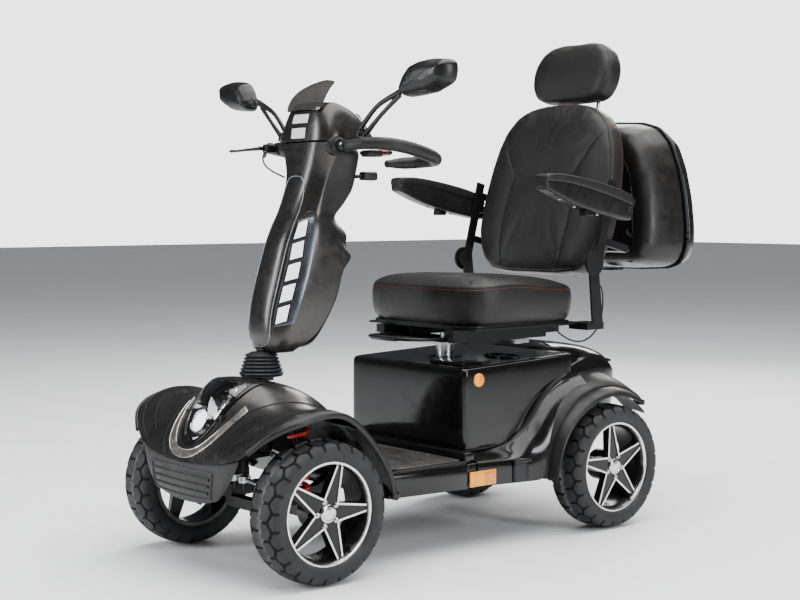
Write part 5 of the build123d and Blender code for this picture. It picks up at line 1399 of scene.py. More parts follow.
def make_armrest(side):
    """Wedge armrest: soft pad over a tapering shell, with a hinge knuckle and underside fittings."""
    def at(y, z, x=0.0):
        return (side * (314 + x), y, z)

    top = [(118, 1016), (135, 1023), (200, 1022), (300, 1008), (400, 988), (476, 966)]
    split = [(117, 1003), (135, 1004), (200, 1000), (300, 982), (400, 958), (478, 936)]
    bottom = [(119, 980), (150, 967), (220, 940), (320, 914), (420, 896), (470, 890)]
    parts = []
    for label, upper, lower, wide, material in (("pad", top, split, 28, LEATHER),
        ("shell", split, bottom, 26.5, ARM_PLASTIC)):
        overlap = 3.5
        line_up = smooth_line([p + (0,) for p in upper], 5)[:, :2] + [0, overlap if label == "shell" else 0]
        line_low = smooth_line([p + (0,) for p in lower], 5)[:, :2] - [0, overlap if label == "pad" else 0]
        rings = []
        total = len(line_up)
        for i, (a, b) in enumerate(zip(line_up, line_low)):
            narrow = wide - 5 * max(0.0, 1 - i / 6) - 2 * (i / total)
            tall = a[1] - b[1]
            ring = []
            for k in range(20):
                turn = 2 * math.pi * k / 20
                c, s = math.cos(turn), math.sin(turn)
                u = math.copysign(abs(c) ** 0.3, c) * narrow
                v = math.copysign(abs(s) ** 0.34, s) * tall / 2
                y = (a[0] + b[0]) / 2 + (a[0] - b[0]) * v / tall
                ring.append(at(y, (a[1] + b[1]) / 2 + v * 0.98, u))
            rings.append(ring)
        parts.append(skin(f"arm_{label}_{WORDS[side]}", rings, material, levels=1, sharp=45.0))
    tree = surface_of(parts[0])
    seam = [at(y, z + 6, 30) for y, z in split[1:]]
    parts.append(stitches(f"arm_stitches_{WORDS[side]}", tree, seam, DARK_SEAM_AND_CREASE_SHADE))
    seam = [at(y, z + 6, -30) for y, z in split[1:]]
    parts.append(stitches(f"arm_inner_stitches_{WORDS[side]}", tree, seam, DARK_SEAM_AND_CREASE_SHADE))
    for y, z in ((190, 951), (250, 930), (345, 908)):
        parts.append(screw(f"arm_screw_{WORDS[side]}_{y}", at(y, z + 1.5), (0, -0.3, -1), 5, ZINC))
    parts.append(block(f"arm_stop_{WORDS[side]}", at(285, 905, -13 * side), at(318, 922, 13 * side), STEEL_BLACK, 2))
    parts.append(turned(f"arm_badge_{WORDS[side]}", [(0, 8), (1.5, 8), (2, 6), (1.2, 5), (1.2, 2)],
            at(455, 925, 25.5), (side, 0, 0), ARM_PLASTIC, 24))
    knuckle = turned(f"arm_knuckle_{WORDS[side]}", [(-22, 17), (-20, 19), (8, 19), (10, 17), (10, 9), (12, 9),
            (13, 5)], (side * 307, 448, 928), (side, 0, 0), STEEL_BLACK, 40)
    parts.append(knuckle)
    arm = joined(f"arm_{WORDS[side]}", parts)
    ride(arm, f"armrest_{WORDS[side]}", (f"armrest_{WORDS[side]}",))


for side in SIDES:
    make_armrest(side)


def make_case():
    """Rear storage case: front shell with a raised panel, gasket, and a glossy rear shell that opens."""
    half = [(0, 1196), (120, 1190), (182, 1172), (226, 1126), (258, 1050), (280, 960), (291, 870), (290, 806),
        (268, 762), (226, 746), (110, 740)]
    outline = half + [(0, 740)] + [(-x, z) for x, z in reversed(half[1:])]
    outline = [tuple(p) for p in spaced(outline, 22.0, True)]

    def shell(name, layers, material):
        rings = []
        for pull, y, slope in layers:
            rings.append([(u, y + slope * (v - 740), v) for u, v in inset(outline, pull)])
        return skin(name, rings, material, levels=2, sharp=60.0)

    front = shell("case_front", [(110, 620, 0.06), (60, 606, 0.08), (36, 606, 0.09), (20, 622, 0.085),
            (9, 660, 0.05), (3, 715, 0.03), (0, 762, 0.012), (0, 774, 0.006)], CASE_SATIN)
    tree = surface_of(front)
    rib = [(s * x, 640, z) for s, x, z in ((-1, 205, 790), (-1, 214, 860), (-1, 204, 960), (-1, 176, 1050),
            (-1, 130, 1090), (1, 0, 1096), (1, 130, 1090), (1, 176, 1050),
            (1, 204, 960), (1, 214, 860), (1, 205, 790))]
    inner = [(x * 0.88, y, z - 14) for x, y, z in rib]
    raised = ribbon("case_panel_rib", tree, [rib, inner], 3.0, CASE_GLOSS, gap=10.0, edge=1.2)
    gasket = hose("case_gasket", [(u, 777, v) for u, v in inset(outline, -1.5)], 4.5, RUBBER, sides=10, closed=True,
        steps=3)
    hinges = [turned(f"case_hinge_{k}", [(-26, 5.5), (26, 5.5), (26, 3), (29, 3)], (x, 780, 742), (1, 0, 0),
            STEEL_BLACK, 24) for k, x in enumerate((-150, 150))]
    bracket = [block(f"case_bracket_{k}", (x - 22, 640, 735), (x + 22, 690, 741), STEEL_BLACK, 1.5)
        for k, x in enumerate((-90, 90))]
    body = joined("case_front_shell", [front, raised, gasket] + hinges + bracket)
    ride(body, "seat_back", ("case_body",))
    rear = shell("case_rear", [(0, 780, 0.0), (0, 792, 0.0), (6, 816, 0.0), (16, 834, 0.0), (34, 847, 0.0),
            (70, 852, 0.0), (120, 853, 0.0)], CASE_GLOSS)
    latch = block("case_latch", (-26, 846, 1096), (26, 857, 1126), ARM_PLASTIC, 3)
    lid = joined("case_rear_shell", [rear, latch])
    ride(lid, "case_lid", ("case_lid",))


make_case()


# --------------------------------------------------------------------------
# Mirrors and levers
# --------------------------------------------------------------------------
def make_mirror(side):
    """Faceted mirror head on a forked stem."""
    outline = [(372, 1284), (398, 1292), (440, 1296), (490, 1291), (501, 1284), (503, 1262), (498, 1238),
        (484, 1229), (440, 1212), (384, 1206), (352, 1204), (338, 1212), (334, 1232), (350, 1262)]
    outline = [tuple(p) for p in spaced(outline, 9.0, True)]

    def face(pull, y):
        return [(side * u, y + 0.10 * (u - 420), v) for u, v in inset(outline, pull)]

    layers = [(34, -423), (22, -421), (10, -413), (3, -400), (0, -384), (0, -372), (2, -366), (4.5, -366)]
    head = skin(f"mirror_head_{WORDS[side]}", [face(pull, y) for pull, y in layers], ARM_PLASTIC, levels=1,
        sharp=35.0)
    tree = surface_of(head)
    panel = [(side * x, -425, z) for x, z in ((352, 1228), (380, 1262), (420, 1280), (462, 1283))]
    lower = [(side * x, -425, z) for x, z in ((356, 1222), (384, 1232), (424, 1252), (466, 1280))]
    crest = bead(f"mirror_panel_{WORDS[side]}", tree, panel + lower[::-1], 0.9, STEEL_BLACK,
        smooth=False, closed=True)
    glass = skin(f"mirror_glass_{WORDS[side]}", [face(5, -366.5), face(6, -364.5), face(40, -364.0)], MIRROR,
        levels=1, sharp=30.0)
    parts = [head, crest, glass]
    knee, neck = (side * 308, -382, 1222), (side * 344, -388, 1236)
    mid = (side * 236, -392, 1176)
    parts.append(hose(f"stem_upper_{WORDS[side]}", [(side * 168, -398, 1136), (mid[0] - side * 6, mid[1], 1190), knee,
            neck], [6.5, 5.5, 7.0, 10.0], ARM_PLASTIC, sides=12, flat=1.2))
    parts.append(hose(f"stem_lower_{WORDS[side]}", [(side * 184, -396, 1118), (mid[0] + side * 8, mid[1], 1166),
            (knee[0], knee[1], knee[2] - 8)], [7.0, 5.0, 6.0], ARM_PLASTIC, sides=12, flat=1.2))
    parts.append(turned(f"stem_foot_{WORDS[side]}", [(0, 15), (10, 15), (12, 12), (22, 11), (24, 8)],
            (side * 172, -404, 1112), (side * 0.1, 0.2, 1), STEEL_BLACK, 32))
    parts.append(turned(f"mirror_ball_{WORDS[side]}", [(-12, 6), (-8, 12), (0, 15), (8, 14), (14, 10)],
            (side * 338, -388, 1230), (side, 0, 0.2), RUBBER, 28))
    mirror = joined(f"mirror_unit_{WORDS[side]}", parts)
    ride(mirror, f"mirror_{WORDS[side]}", (f"mirror_{WORDS[side]}",))


for side in SIDES:
    make_mirror(side)


def make_levers():
    """Brake lever and clamp on the right, thumb throttle paddle, and the tilt release."""
    blade = hose("brake_blade", [(-160, -484, 1090), (-186, -488, 1089), (-232, -490, 1088), (-284, -482, 1087),
            (-322, -472, 1088), (-333, -470, 1088)], [9, 8, 6.5, 6, 6.5, 7.5], STEEL_BLACK, sides=12, flat=0.6)
    pivot = screw("brake_pivot", (-166, -486, 1094), (0, 0, 1), 6, ZINC)
    ride(joined("brake_handle", [blade, pivot]), "brake_lever", ("brake_lever",))
    paddle = hose("throttle_paddle", [(120, -348, 1073), (150, -344, 1073), (176, -334, 1072), (202, -326, 1072)],
        [10, 8, 8, 9], ARM_PLASTIC, sides=14, flat=0.55)
    boss = turned("throttle_boss", [(-5, 12), (-4, 13), (4, 13), (5, 12), (5, 4)], (120, -348, 1073), (0, 0, 1),
        STEEL_BLACK, 32)
    ride(joined("throttle_thumb", [paddle, boss]), "throttle_lever", ("throttle_lever",))
    stalk = hose("tilt_stalk", [(50, -344, 1012), (50, -312, 1013), (50, -296, 1014)], [6, 5, 5], STEEL_BLACK)
    pad = block("tilt_pad", (36, -304, 1002), (64, -255, 1026), RUBBER, 6)
    ride(joined("tilt_handle", [stalk, pad]), "tilt_lever", ("tilt_lever",))
    perch = [turned("perch_ring", [(-9, 17), (-8, 18), (8, 18), (9, 17), (9, 13)], (-150, -434, 1090), (1, 0, 0),
            STEEL_BLACK, 32), block("perch_block", (-170, -478, 1078), (-144, -446, 1102), STEEL_BLACK, 5),
        turned("perch_adjuster", [(0, 5), (12, 5), (13, 4), (18, 4), (18, 2.5)], (-157, -474, 1082),
            (0, -0.3, -1), ZINC, 20)]
    ride(joined("brake_perch", perch), "tiller", ())


make_levers()


def make_slide_lever():
    loop = [(-112, 8, 560), (-112, -40, 560), (-110, -110, 562), (-92, -158, 563), (-58, -182, 564),
        (0, -187, 564), (58, -182, 564), (92, -158, 563), (110, -110, 562), (112, -40, 560), (112, 8, 560)]
    bar = hose("slide_bar", loop, 5, STEEL_BLACK, sides=14)
    eyes = [turned(f"slide_eye_{k}", [(-5, 7), (5, 7), (5, 3)], (x, 5, 559.5), (1, 0, 0), STEEL_BLACK, 24)
        for k, x in enumerate((-112, 112))]
    grip = hose("slide_grip", [(-52, -183.2, 564), (0, -187.5, 564), (52, -183.2, 564)], 7.5, RUBBER, sides=16)
    ride(joined("slide_handle", [bar, grip] + eyes), "seat_lever", ("seat_lever",))


make_slide_lever()


# --------------------------------------------------------------------------
# Front bodywork
# --------------------------------------------------------------------------
FENDER_LIP = [(0, -852, 286), (110, -848, 292), (205, -838, 306), (262, -822, 338), (304, -798, 374),
    (330, -762, 397), (346, -718, 411), (352, -645, 424), (351, -580, 410), (346, -509, 350),
    (337, -446, 268), (326, -415, 196)]
FENDER_BANDS = [FENDER_LIP,
    [(0, -848, 300), (105, -844, 306), (196, -832, 322), (250, -812, 356), (290, -785, 392), (315, -750, 414),
        (331, -710, 428), (338, -643, 439), (337, -575, 426), (332, -500, 364), (325, -436, 276), (316, -410, 200)],
    [(0, -838, 316), (95, -832, 326), (176, -816, 346), (226, -788, 378), (258, -758, 406), (278, -728, 424),
        (290, -696, 434), (296, -640, 440), (294, -572, 428), (288, -498, 366), (282, -434, 280), (276, -408, 206)],
    [(0, -824, 332), (80, -816, 344), (146, -792, 366), (190, -758, 388), (216, -728, 402), (230, -700, 408),
        (236, -672, 411), (238, -632, 411), (236, -568, 400), (232, -494, 352), (228, -432, 280), (224, -406, 214)],
    [(0, -812, 352), (58, -800, 368), (104, -768, 396), (142, -728, 420), (162, -696, 432), (170, -668, 436),
        (173, -640, 436), (174, -605, 434), (172, -550, 420), (170, -484, 376), (168, -424, 300), (166, -400, 228)],
    [(0, -800, 386), (46, -780, 408), (78, -742, 440), (106, -704, 458), (122, -676, 464), (130, -650, 465),
        (132, -628, 464), (133, -598, 460), (132, -550, 446), (130, -482, 408), (128, -416, 336), (126, -390, 250)],
    [(0, -786, 424), (30, -770, 440), (56, -734, 466), (78, -702, 479), (90, -676, 482), (96, -652, 481),
        (98, -630, 479), (98, -600, 475), (98, -556, 462), (97, -488, 428), (96, -420, 364), (94, -386, 268)],
    [(0, -770, 456), (16, -760, 466), (30, -732, 482), (40, -704, 489), (46, -678, 489), (48, -654, 487),
        (49, -632, 484), (49, -600, 478), (49, -558, 465), (48, -490, 432), (48, -420, 370), (47, -384, 272)],
    [(0, -752, 474), (0, -744, 480), (0, -726, 487), (0, -702, 491), (0, -678, 491), (0, -654, 488),
        (0, -632, 485), (0, -600, 479), (0, -558, 466), (0, -490, 434), (0, -420, 372), (0, -384, 274)]]
LAMP_OUTLINE = [(0, 336), (37, 352), (60, 388), (74, 432), (84, 474), (60, 481), (25, 483), (0, 483)]


def make_front_body():
    """Nose, hood and both front fenders in one moulding, with the lamp opening cut through."""
    columns = len(FENDER_LIP)
    verts = [p for band in FENDER_BANDS for p in band]
    faces = []
    for i in range(len(FENDER_BANDS) - 1):
        for k in range(columns - 1):
            faces.append((i * columns + k, i * columns + k + 1, (i + 1) * columns + k + 1, (i + 1) * columns + k))
    body = mesh_piece("front_moulding", verts, faces, BODY_SATIN)
    modified(body, "MIRROR", use_mirror_merge=True, merge_threshold=0.0005)
    modified(body, "SUBSURF", levels=3, render_levels=3)
    body = settle(body, 60.0)
    return body


def cut_through(obj, outline, low_y, high_y):
    """Cut an opening, given in (x, z), through a shell along Y."""
    count = len(outline)
    verts = [(x, y, z) for y in (low_y, high_y) for x, z in outline]
    faces = [tuple(range(count)), tuple(range(count, 2 * count))[::-1]]
    faces += [(k, (k + 1) % count, count + (k + 1) % count, count + k) for k in range(count)]
    cutter = mesh_piece("lamp_cutter", verts, faces)
    modified(obj, "BOOLEAN", object=cutter, operation="DIFFERENCE", solver="EXACT")
    result = settle(obj, 45.0)
    bpy.data.objects.remove(cutter)
    return result


def front_place(tree, x, z):
    """Point of the nose straight behind (x, z)."""
    spot, _, _, _ = tree.ray_cast(Vector((x, -1000, z)), Vector((0, 1, 0)))
    return tuple(spot) if spot else (x, -760, z)


def make_nose():
    body = make_front_body()
    tree = surface_of(body)
    modified(body, "SOLIDIFY", thickness=4 * MM, offset=-1.0, use_even_offset=True)
    body = settle(body, 45.0)
    lamp = LAMP_OUTLINE + [(-x, z) for x, z in reversed(LAMP_OUTLINE[1:-1])]
    body = cut_through(body, lamp, -900, -690)
    parts = [body]
    for side in SIDES:
        lip = [(side * x, y, z) for x, y, z in FENDER_LIP[3:]]
        parts.append(hose(f"fender_lip_{WORDS[side]}", [(x, y, z - 1) for x, y, z in lip], 5.5, DARK_SATIN,
                sides=12, flat=1.5))
        # Near-black beads along the fender and hood creases: painted shade.
        parts.append(bead(f"fender_crease_{WORDS[side]}", tree,
                [(side * x, y, z) for x, y, z in FENDER_BANDS[1][2:]], 1.2, DARK_SEAM_AND_CREASE_SHADE, lift=0.1))
        parts.append(bead(f"fender_crest_{WORDS[side]}", tree,
                [(side * x, y, z) for x, y, z in FENDER_BANDS[2][2:-2]], 1.2, DARK_SEAM_AND_CREASE_SHADE, lift=0.1))
        parts.append(bead(f"hood_crease_{WORDS[side]}", tree,
                [(side * x, y, z) for x, y, z in FENDER_BANDS[4][2:9]], 1.8, DARK_SEAM_AND_CREASE_SHADE, lift=0.1))
        edge = [[(side * x, y, z) for x, y, z in FENDER_BANDS[k][4:]] for k in (0, 1)]
        parts.append(ribbon(f"fender_rim_{WORDS[side]}", tree, edge, 1.6, DARK_SATIN, gap=8.0, edge=0.6))
        parts.append(turned(f"fender_cap_{WORDS[side]}", [(-9, 8), (-7, 12), (7, 12), (9, 8)],
                (side * 322, -412, 194), (1, 0, 0), ARM_PLASTIC, 28))
    moulding = joined("front_moulding", parts)
    ride(moulding, "chassis", ("front_cowl", "front_fenders"))
    return tree


nose = make_nose()


def make_nose_trim():
    """Champagne V band with bright edges, a near-black bead painted as shade along the crease below it, and the black
    lamp surround.
    """
    def lay(points):
        return [front_place(nose, x, z) for x, z in points]

    band_in = [(120, 428), (104, 392), (80, 354), (46, 326), (0, 317)]
    band_out = [(136, 418), (120, 378), (93, 338), (54, 309), (0, 299)]
    band_in += [(-x, z) for x, z in reversed(band_in[:-1])]
    band_out += [(-x, z) for x, z in reversed(band_out[:-1])]
    rim = [(96, 478), (86, 440), (71, 392), (46, 346), (0, 326)]
    rim += [(-x, z) for x, z in reversed(rim[:-1])]
    hole = [(84, 474), (74, 432), (60, 388), (37, 352), (0, 336)]
    hole += [(-x, z) for x, z in reversed(hole[:-1])]
    below = [(156, 404), (138, 364), (108, 324), (62, 297), (0, 288)]
    below += [(-x, z) for x, z in reversed(below[:-1])]
    parts = [ribbon("nose_band", nose, [lay(band_in), lay(band_out)], 2.6, CHAMPAGNE, gap=6.0, edge=0.8),
        bead("nose_band_top", nose, lay(band_in), 1.5, PIPING, lift=2.2, gap=4.0),
        bead("nose_band_foot", nose, lay(band_out), 1.3, PIPING, lift=2.2, gap=4.0),
        ribbon("lamp_surround", nose, [lay(hole), lay(rim)], 4.0, BODY_GLOSS, gap=6.0, edge=1.2),
        # Near-black bead along the nose crease: painted shade.
        bead("nose_crease", nose, lay(below), 1.5, DARK_SEAM_AND_CREASE_SHADE, lift=0.1, gap=5.0)]
    trim = joined("nose_trim_set", parts)
    ride(trim, "chassis", ("nose_trim",))


make_nose_trim()


def make_headlamp():
    """Bright bowl low in a silver tray with slats, black tongue above, behind a clear lens."""
    tray_rings = []
    for half in (((0, -806, 330), (30, -796, 350), (50, -780, 388), (66, -756, 430), (78, -716, 480),
            (40, -712, 486), (0, -712, 488)),
        ((0, -774, 352), (20, -766, 366), (38, -752, 398), (52, -730, 430), (62, -700, 464),
            (36, -696, 468), (0, -696, 470))):
        tray_rings.append(list(half) + mirrored(reversed(half[1:-1])))
    tray = skin("lamp_tray", tray_rings, PIPING, levels=2, sharp=40.0)
    bowl = turned("lamp_bowl", [(-6, 33), (6, 34), (10, 31), (0, 26), (-4, 18), (-6, 6)], (0, -786, 382),
        (0, -0.86, 0.5), CHROME, 48)
    light = turned("lamp_light", [(0, 27), (7, 27), (10, 20), (12, 8)], (0, -782, 383), (0, -0.86, 0.5), LED_BRIGHT,
        40)
    parts = [tray, bowl, light]
    for side in SIDES:
        for k in range(4):
            z = 416 + 14 * k
            y = -766 + 13 * k
            parts.append(plate(f"lamp_slat_{WORDS[side]}_{k}",
                    [(0, 0), (34 + 3 * k, 6), (34 + 3 * k, 11), (0, 5)],
                    (side * 18, y, z), (side, 0, 0), (0, 0.5, 0.86), 3.0 * side, CHROME, 0.5))
    tongue = skin("hood_tongue", [[(x, -700, 487 - 0.002 * x * x) for x in (-52, -26, 0, 26, 52)],
            [(x, -730, 482 - 0.002 * x * x) for x in (-47, -24, 0, 24, 47)],
            [(x, -756, 463 - 0.002 * x * x) for x in (-38, -20, 0, 20, 38)],
            [(x, -772, 440 - 0.002 * x * x) for x in (-27, -14, 0, 14, 27)],
            [(x, -778, 424 - 0.002 * x * x) for x in (-15, -8, 0, 8, 15)]], BODY_GLOSS, closed=False, thick=4.0)
    parts.append(tongue)
    lamp = joined("headlamp_unit", parts)
    ride(lamp, "chassis", ("headlamp_housing",))
    edge = [front_place(nose, x, z) for x, z in ((83, 474), (73, 432), (59, 388), (36, 352), (8, 338))]
    other = [(-x, y, z) for x, y, z in edge]
    lens = ribbon("headlamp_glass", nose, [edge, other], 1.2, LENS, gap=8.0, fillers=12)
    ride(lens, "chassis", ("headlamp_lens",))


make_headlamp()


def make_bumper():
    """Grained bumper with a recessed grille of three ribs."""
    def at(x, z, push=0.0):
        return (x, -856 + 0.00042 * x * x + 0.0011 * (z - 270) ** 2 + push, z)

    rows = []
    for t in (0.0, 0.10, 0.5, 0.9, 1.0):
        row = []
        for s in (-1.0, -0.93, -0.7, -0.35, 0, 0.35, 0.7, 0.93, 1.0):
            half = 222 - 78 * (1 - t) ** 1.7
            x = s * half
            top = 296 + 20 * (abs(x) / 222) ** 2
            bottom = 186 + 20 * abs(s) ** 3
            row.append(at(x, bottom + (top - bottom) * t, 12 if t in (0.0, 1.0) or abs(s) == 1.0 else 0))
        rows.append(row)
    shell = skin("bumper_shell", rows, BUMPER, closed=False, levels=3, sharp=50.0)
    tree = surface_of(shell)
    facing = tree.find_nearest(Vector((0, -900, 250)))[1].y
    if facing > 0:
        shell.data.flip_normals()
        tree = surface_of(shell)
    parts = [thicken(shell, 4.0)]
    left = [at(-128 - 16 * t, 206 + 68 * t) for t in (0, 0.33, 0.66, 1)]
    right = [(-x, y, z) for x, y, z in left]
    parts.append(ribbon("bumper_grille", tree, [left, right], 1.0, DARK_SATIN, gap=10.0, fillers=16, smooth=False))
    for k, z in enumerate((222, 240, 258)):
        wide = 122 + 5 * k
        parts.append(bead(f"bumper_rib_{k}", tree, [at(x, z) for x in np.linspace(-wide, wide, 9)], 5.0, BUMPER,
                lift=0.5, flat=0.8))
    border = left + right[::-1]
    parts.append(bead("bumper_border", tree, border, 3.6, BUMPER, lift=0.6, smooth=False, closed=True, gap=4.0))
    bumper = joined("nose_bumper", parts)
    ride(bumper, "chassis", ("front_bumper",))


make_bumper()


def arch_liner(name, side, centre_y, radius, low_x, high_x, start, end):
    rings = []
    for degrees in np.linspace(start, end, 13):
        turn = math.radians(degrees)
        y, z = centre_y - radius * math.cos(turn), 180 + radius * math.sin(turn)
        rings.append([(side * x, y, z - 10 * ((x - low_x) / (high_x - low_x)) ** 3)
                for x in np.linspace(low_x, high_x, 5)])
    return skin(name, rings, LINER, closed=False, levels=1, thick=2.0)


liners = []
for side in SIDES:
    liners.append(arch_liner(f"front_liner_{WORDS[side]}", side, -640, 229, 214, 334, 96, 176))
    liners.append(arch_liner(f"rear_liner_{WORDS[side]}", side, 380, 222, 252, 338, 2, 138))
ride(joined("wheel_arch_liners", liners), "chassis", ())


# --------------------------------------------------------------------------
# Deck, seat box and rear bodywork
# --------------------------------------------------------------------------
def make_deck():
    """Floor with side skirts, sill step at the box and the streaked mat."""
    skirt = [(-418, 181), (-418, 236), (-410, 244), (-144, 244), (-140, 240), (-140, 174)]
    parts = [plate("deck_slab", [(y, z) for y, z in skirt], (-304, 0, 0), (0, 1, 0), (0, 0, 1), 608, BODY_GLOSS,
            3.0)]
    for side in SIDES:
        parts.append(hose(f"deck_rim_{WORDS[side]}", [(side * 297, y, 246) for y in (-408, -300, -200, -146)], 4,
                BODY_GLOSS, straight=True))
    parts.append(block("sill_step", (-286, -136, 240), (286, -100, 268), BODY_GLOSS, 5))
    parts.append(block("rear_slab", (-298, -138, 178), (298, 135, 240), BODY_GLOSS, 4))
    for x in (-150, 150):
        for y in (-380, -150):
            parts.append(screw(f"deck_screw_{x}_{y}", (x, y, 248), (0, 0, 1), 6, ZINC))
    ride(joined("deck_moulding", parts), "chassis", ("floor_pan",))
    mat = plate("deck_mat", round_corners([(-278, -372), (278, -372), (278, -140), (-278, -140)], 18), (0, 0, 245),
        (1, 0, 0), (0, 1, 0), 5, MAT, 1.5)
    ribs = [mat]
    for k in range(22):
        y = -364 + k * 10.2
        ribs.append(block(f"mat_rib_{k}", (-268, y - 2.6, 249), (268, y + 2.6, 251.4), MAT, 0.9))
    ride(joined("deck_mat", ribs), "chassis", ("floor_mat",))


make_deck()


def make_seat_box():
    """Gloss box with soft edges, lid seam, tray, oval recess and the fairing humped up behind it."""
    def ring(y_rear, z, pull):
        outline = round_corners([(-250 + pull, -108 + pull), (250 - pull, -108 + pull), (250 - pull, y_rear),
                (-250 + pull, y_rear)], 22)
        return [(x, y, z + (y + 108) / 433 * 16 if z > 480 else z) for x, y in outline]

    rings = [ring(325, 245, 0), ring(325, 252, 0), ring(325, 400, 0), ring(325, 474, 0), ring(325, 484, 1.5),
        ring(325, 489, 5), ring(325, 491, 11), ring(325, 491.5, 20), ring(325, 491.5, 120)]
    box = skin("box_shell", rings, BODY_GLOSS, levels=1, sharp=50.0)
    tray = plate("box_tray", round_corners([(60, -70), (200, -70), (200, 10), (60, 10)], 10), (0, 0, 492.5),
        (1, 0, 0), (0, 1, 0), 8, BODY_GLOSS, 3)
    oval = [(130 + 62 * math.cos(a), 150 + 34 * math.sin(a), 502) for a in np.linspace(0, 2 * math.pi, 25)[:-1]]
    rim = hose("box_oval", oval, 3.5, BODY_GLOSS, closed=True, steps=2)
    pit = turned("box_post_ring", [(-2, 52), (3, 52), (5, 49), (5, 40), (2, 38)], (0, 45, 494), (0, 0, 1), RUBBER,
        48)
    rows = []
    for y, top, wide in ((322, 506, 250), (345, 515, 249), (385, 523, 246), (430, 525, 240), (475, 518, 232),
        (512, 505, 222), (540, 484, 208), (548, 468, 198)):
        half = [(0, top), (wide * 0.45, top - 1), (wide * 0.72, top - 7), (wide * 0.9, top - 20),
            (wide, top - 42), (wide + 1, 430 if y < 500 else 440), (wide - 2, 380), (wide - 6, 334)]
        rows.append([(x, y, z) for x, z in reversed(half)] + [(-x, y, z) for x, z in half[1:]])
    hump = skin("tail_fairing", rows, BODY_GLOSS, closed=False, levels=2, thick=3.0, sharp=45.0)
    edge = hose("tail_edge", [(x, 548 - 0.0003 * x * x, 469 + 12 * (1 - (abs(x) / 200) ** 2)) for x in
            (-198, -120, 0, 120, 198)], 4, DARK_SATIN)
    back = plate("tail_panel", round_corners([(-190, 338), (190, 338), (190, 462), (-190, 462)], 16),
        (0, 540, 0), (-1, 0, 0), (0, 0, 1), 3, DARK_SATIN, 1.0)
    ride(joined("seat_box_moulding", [box, tray, rim, pit]), "chassis", ("seat_box",))
    ride(joined("tail_moulding", [hump, edge, back]), "chassis", ("rear_fairing",))


make_seat_box()

ARCH_LIP = [(151, 166), (155, 206), (170, 259), (205, 315), (252, 355), (312, 385), (376, 396), (440, 388),
    (508, 358)]
ARCH_STEP = [(143, 168), (146, 215), (160, 275), (194, 333), (246, 379), (318, 411), (388, 417), (462, 406),
    (537, 364)]
ARCH_ROOT = [(118, 172), (122, 240), (138, 312), (176, 378), (236, 424), (318, 450), (400, 454), (476, 436),
    (546, 392)]


def make_rear_fender(side):
    """Broad arch stepping down to a separate lip band, flowing forward into the side panel."""
    def line(points, x, lift=0.0):
        return [(side * x, y, z + lift) for y, z in points]

    def between(a, b, t, x):
        return [(side * x, ya + (yb - ya) * t, za + (zb - za) * t) for (ya, za), (yb, zb) in zip(a, b)]

    arch = skin(f"arch_{WORDS[side]}", [between(ARCH_STEP, ARCH_ROOT, -0.04, 323), line(ARCH_STEP, 321, 3),
            between(ARCH_STEP, ARCH_ROOT, 0.42, 306),
            between(ARCH_STEP, ARCH_ROOT, 0.82, 276), line(ARCH_ROOT, 248)],
        DARK_SATIN, closed=False, thick=3.0, levels=2)
    lip = skin(f"arch_lip_{WORDS[side]}", [line(ARCH_LIP, 357, -6), line(ARCH_LIP, 357.5),
            between(ARCH_LIP, ARCH_STEP, 0.35, 354),
            between(ARCH_LIP, ARCH_STEP, 0.9, 332), line(ARCH_STEP, 318, -3)],
        DARK_SATIN, closed=False, thick=3.0, levels=2)
    rows = [[(252, -104, 258), (252, -20, 258), (252, 60, 272), (252, 108, 306), (252, 148, 356), (252, 190, 404),
            (250, 245, 440), (248, 320, 462)],
        [(268, -104, 250), (268, -20, 249), (270, 50, 258), (271, 96, 286), (273, 136, 340), (276, 178, 390),
            (278, 236, 428), (280, 320, 447)],
        [(300, -104, 245), (300, -20, 242), (303, 56, 236), (306, 98, 242), (309, 128, 270), (310, 162, 322),
            (312, 228, 378), (314, 320, 415)],
        [(305, -104, 234), (305, -20, 230), (307, 58, 222), (311, 100, 218), (315, 130, 222), (318, 152, 262),
            (320, 216, 356), (320, 320, 411)],
        [(305, -104, 176), (305, -20, 173), (307, 58, 170), (311, 104, 169), (317, 136, 169), (320, 146, 212),
            (321, 196, 334), (321, 320, 409)]]
    panel = skin(f"side_panel_{WORDS[side]}", [[(side * x, y, z) for x, y, z in row] for row in rows], BODY_GLOSS,
        closed=False, thick=3.0, levels=2)
    bump = skin(f"step_bump_{WORDS[side]}", [
            [(side * x, y, z) for x, y in ((300, 20), (314, 24), (318, 40), (318, 66), (314, 80), (300, 84))]
            for z in (172, 176, 222, 228)], LINER, levels=2)
    cap = block(f"bump_cap_{WORDS[side]}", (side * 308 - 14, 18, 226), (side * 308 + 14, 88, 236), BODY_GLOSS, 4)
    parts = [arch, lip, panel, bump, cap]
    tip = block(f"lip_tip_{WORDS[side]}", (side * 338 - 19, 502, 351), (side * 338 + 19, 514, 367), DARK_SATIN, 3)
    parts.append(tip)
    ride(joined(f"rear_fender_{WORDS[side]}_moulding", parts), "chassis",
        ("rear_fenders",) if side > 0 else ())


for side in SIDES:
    make_rear_fender(side)


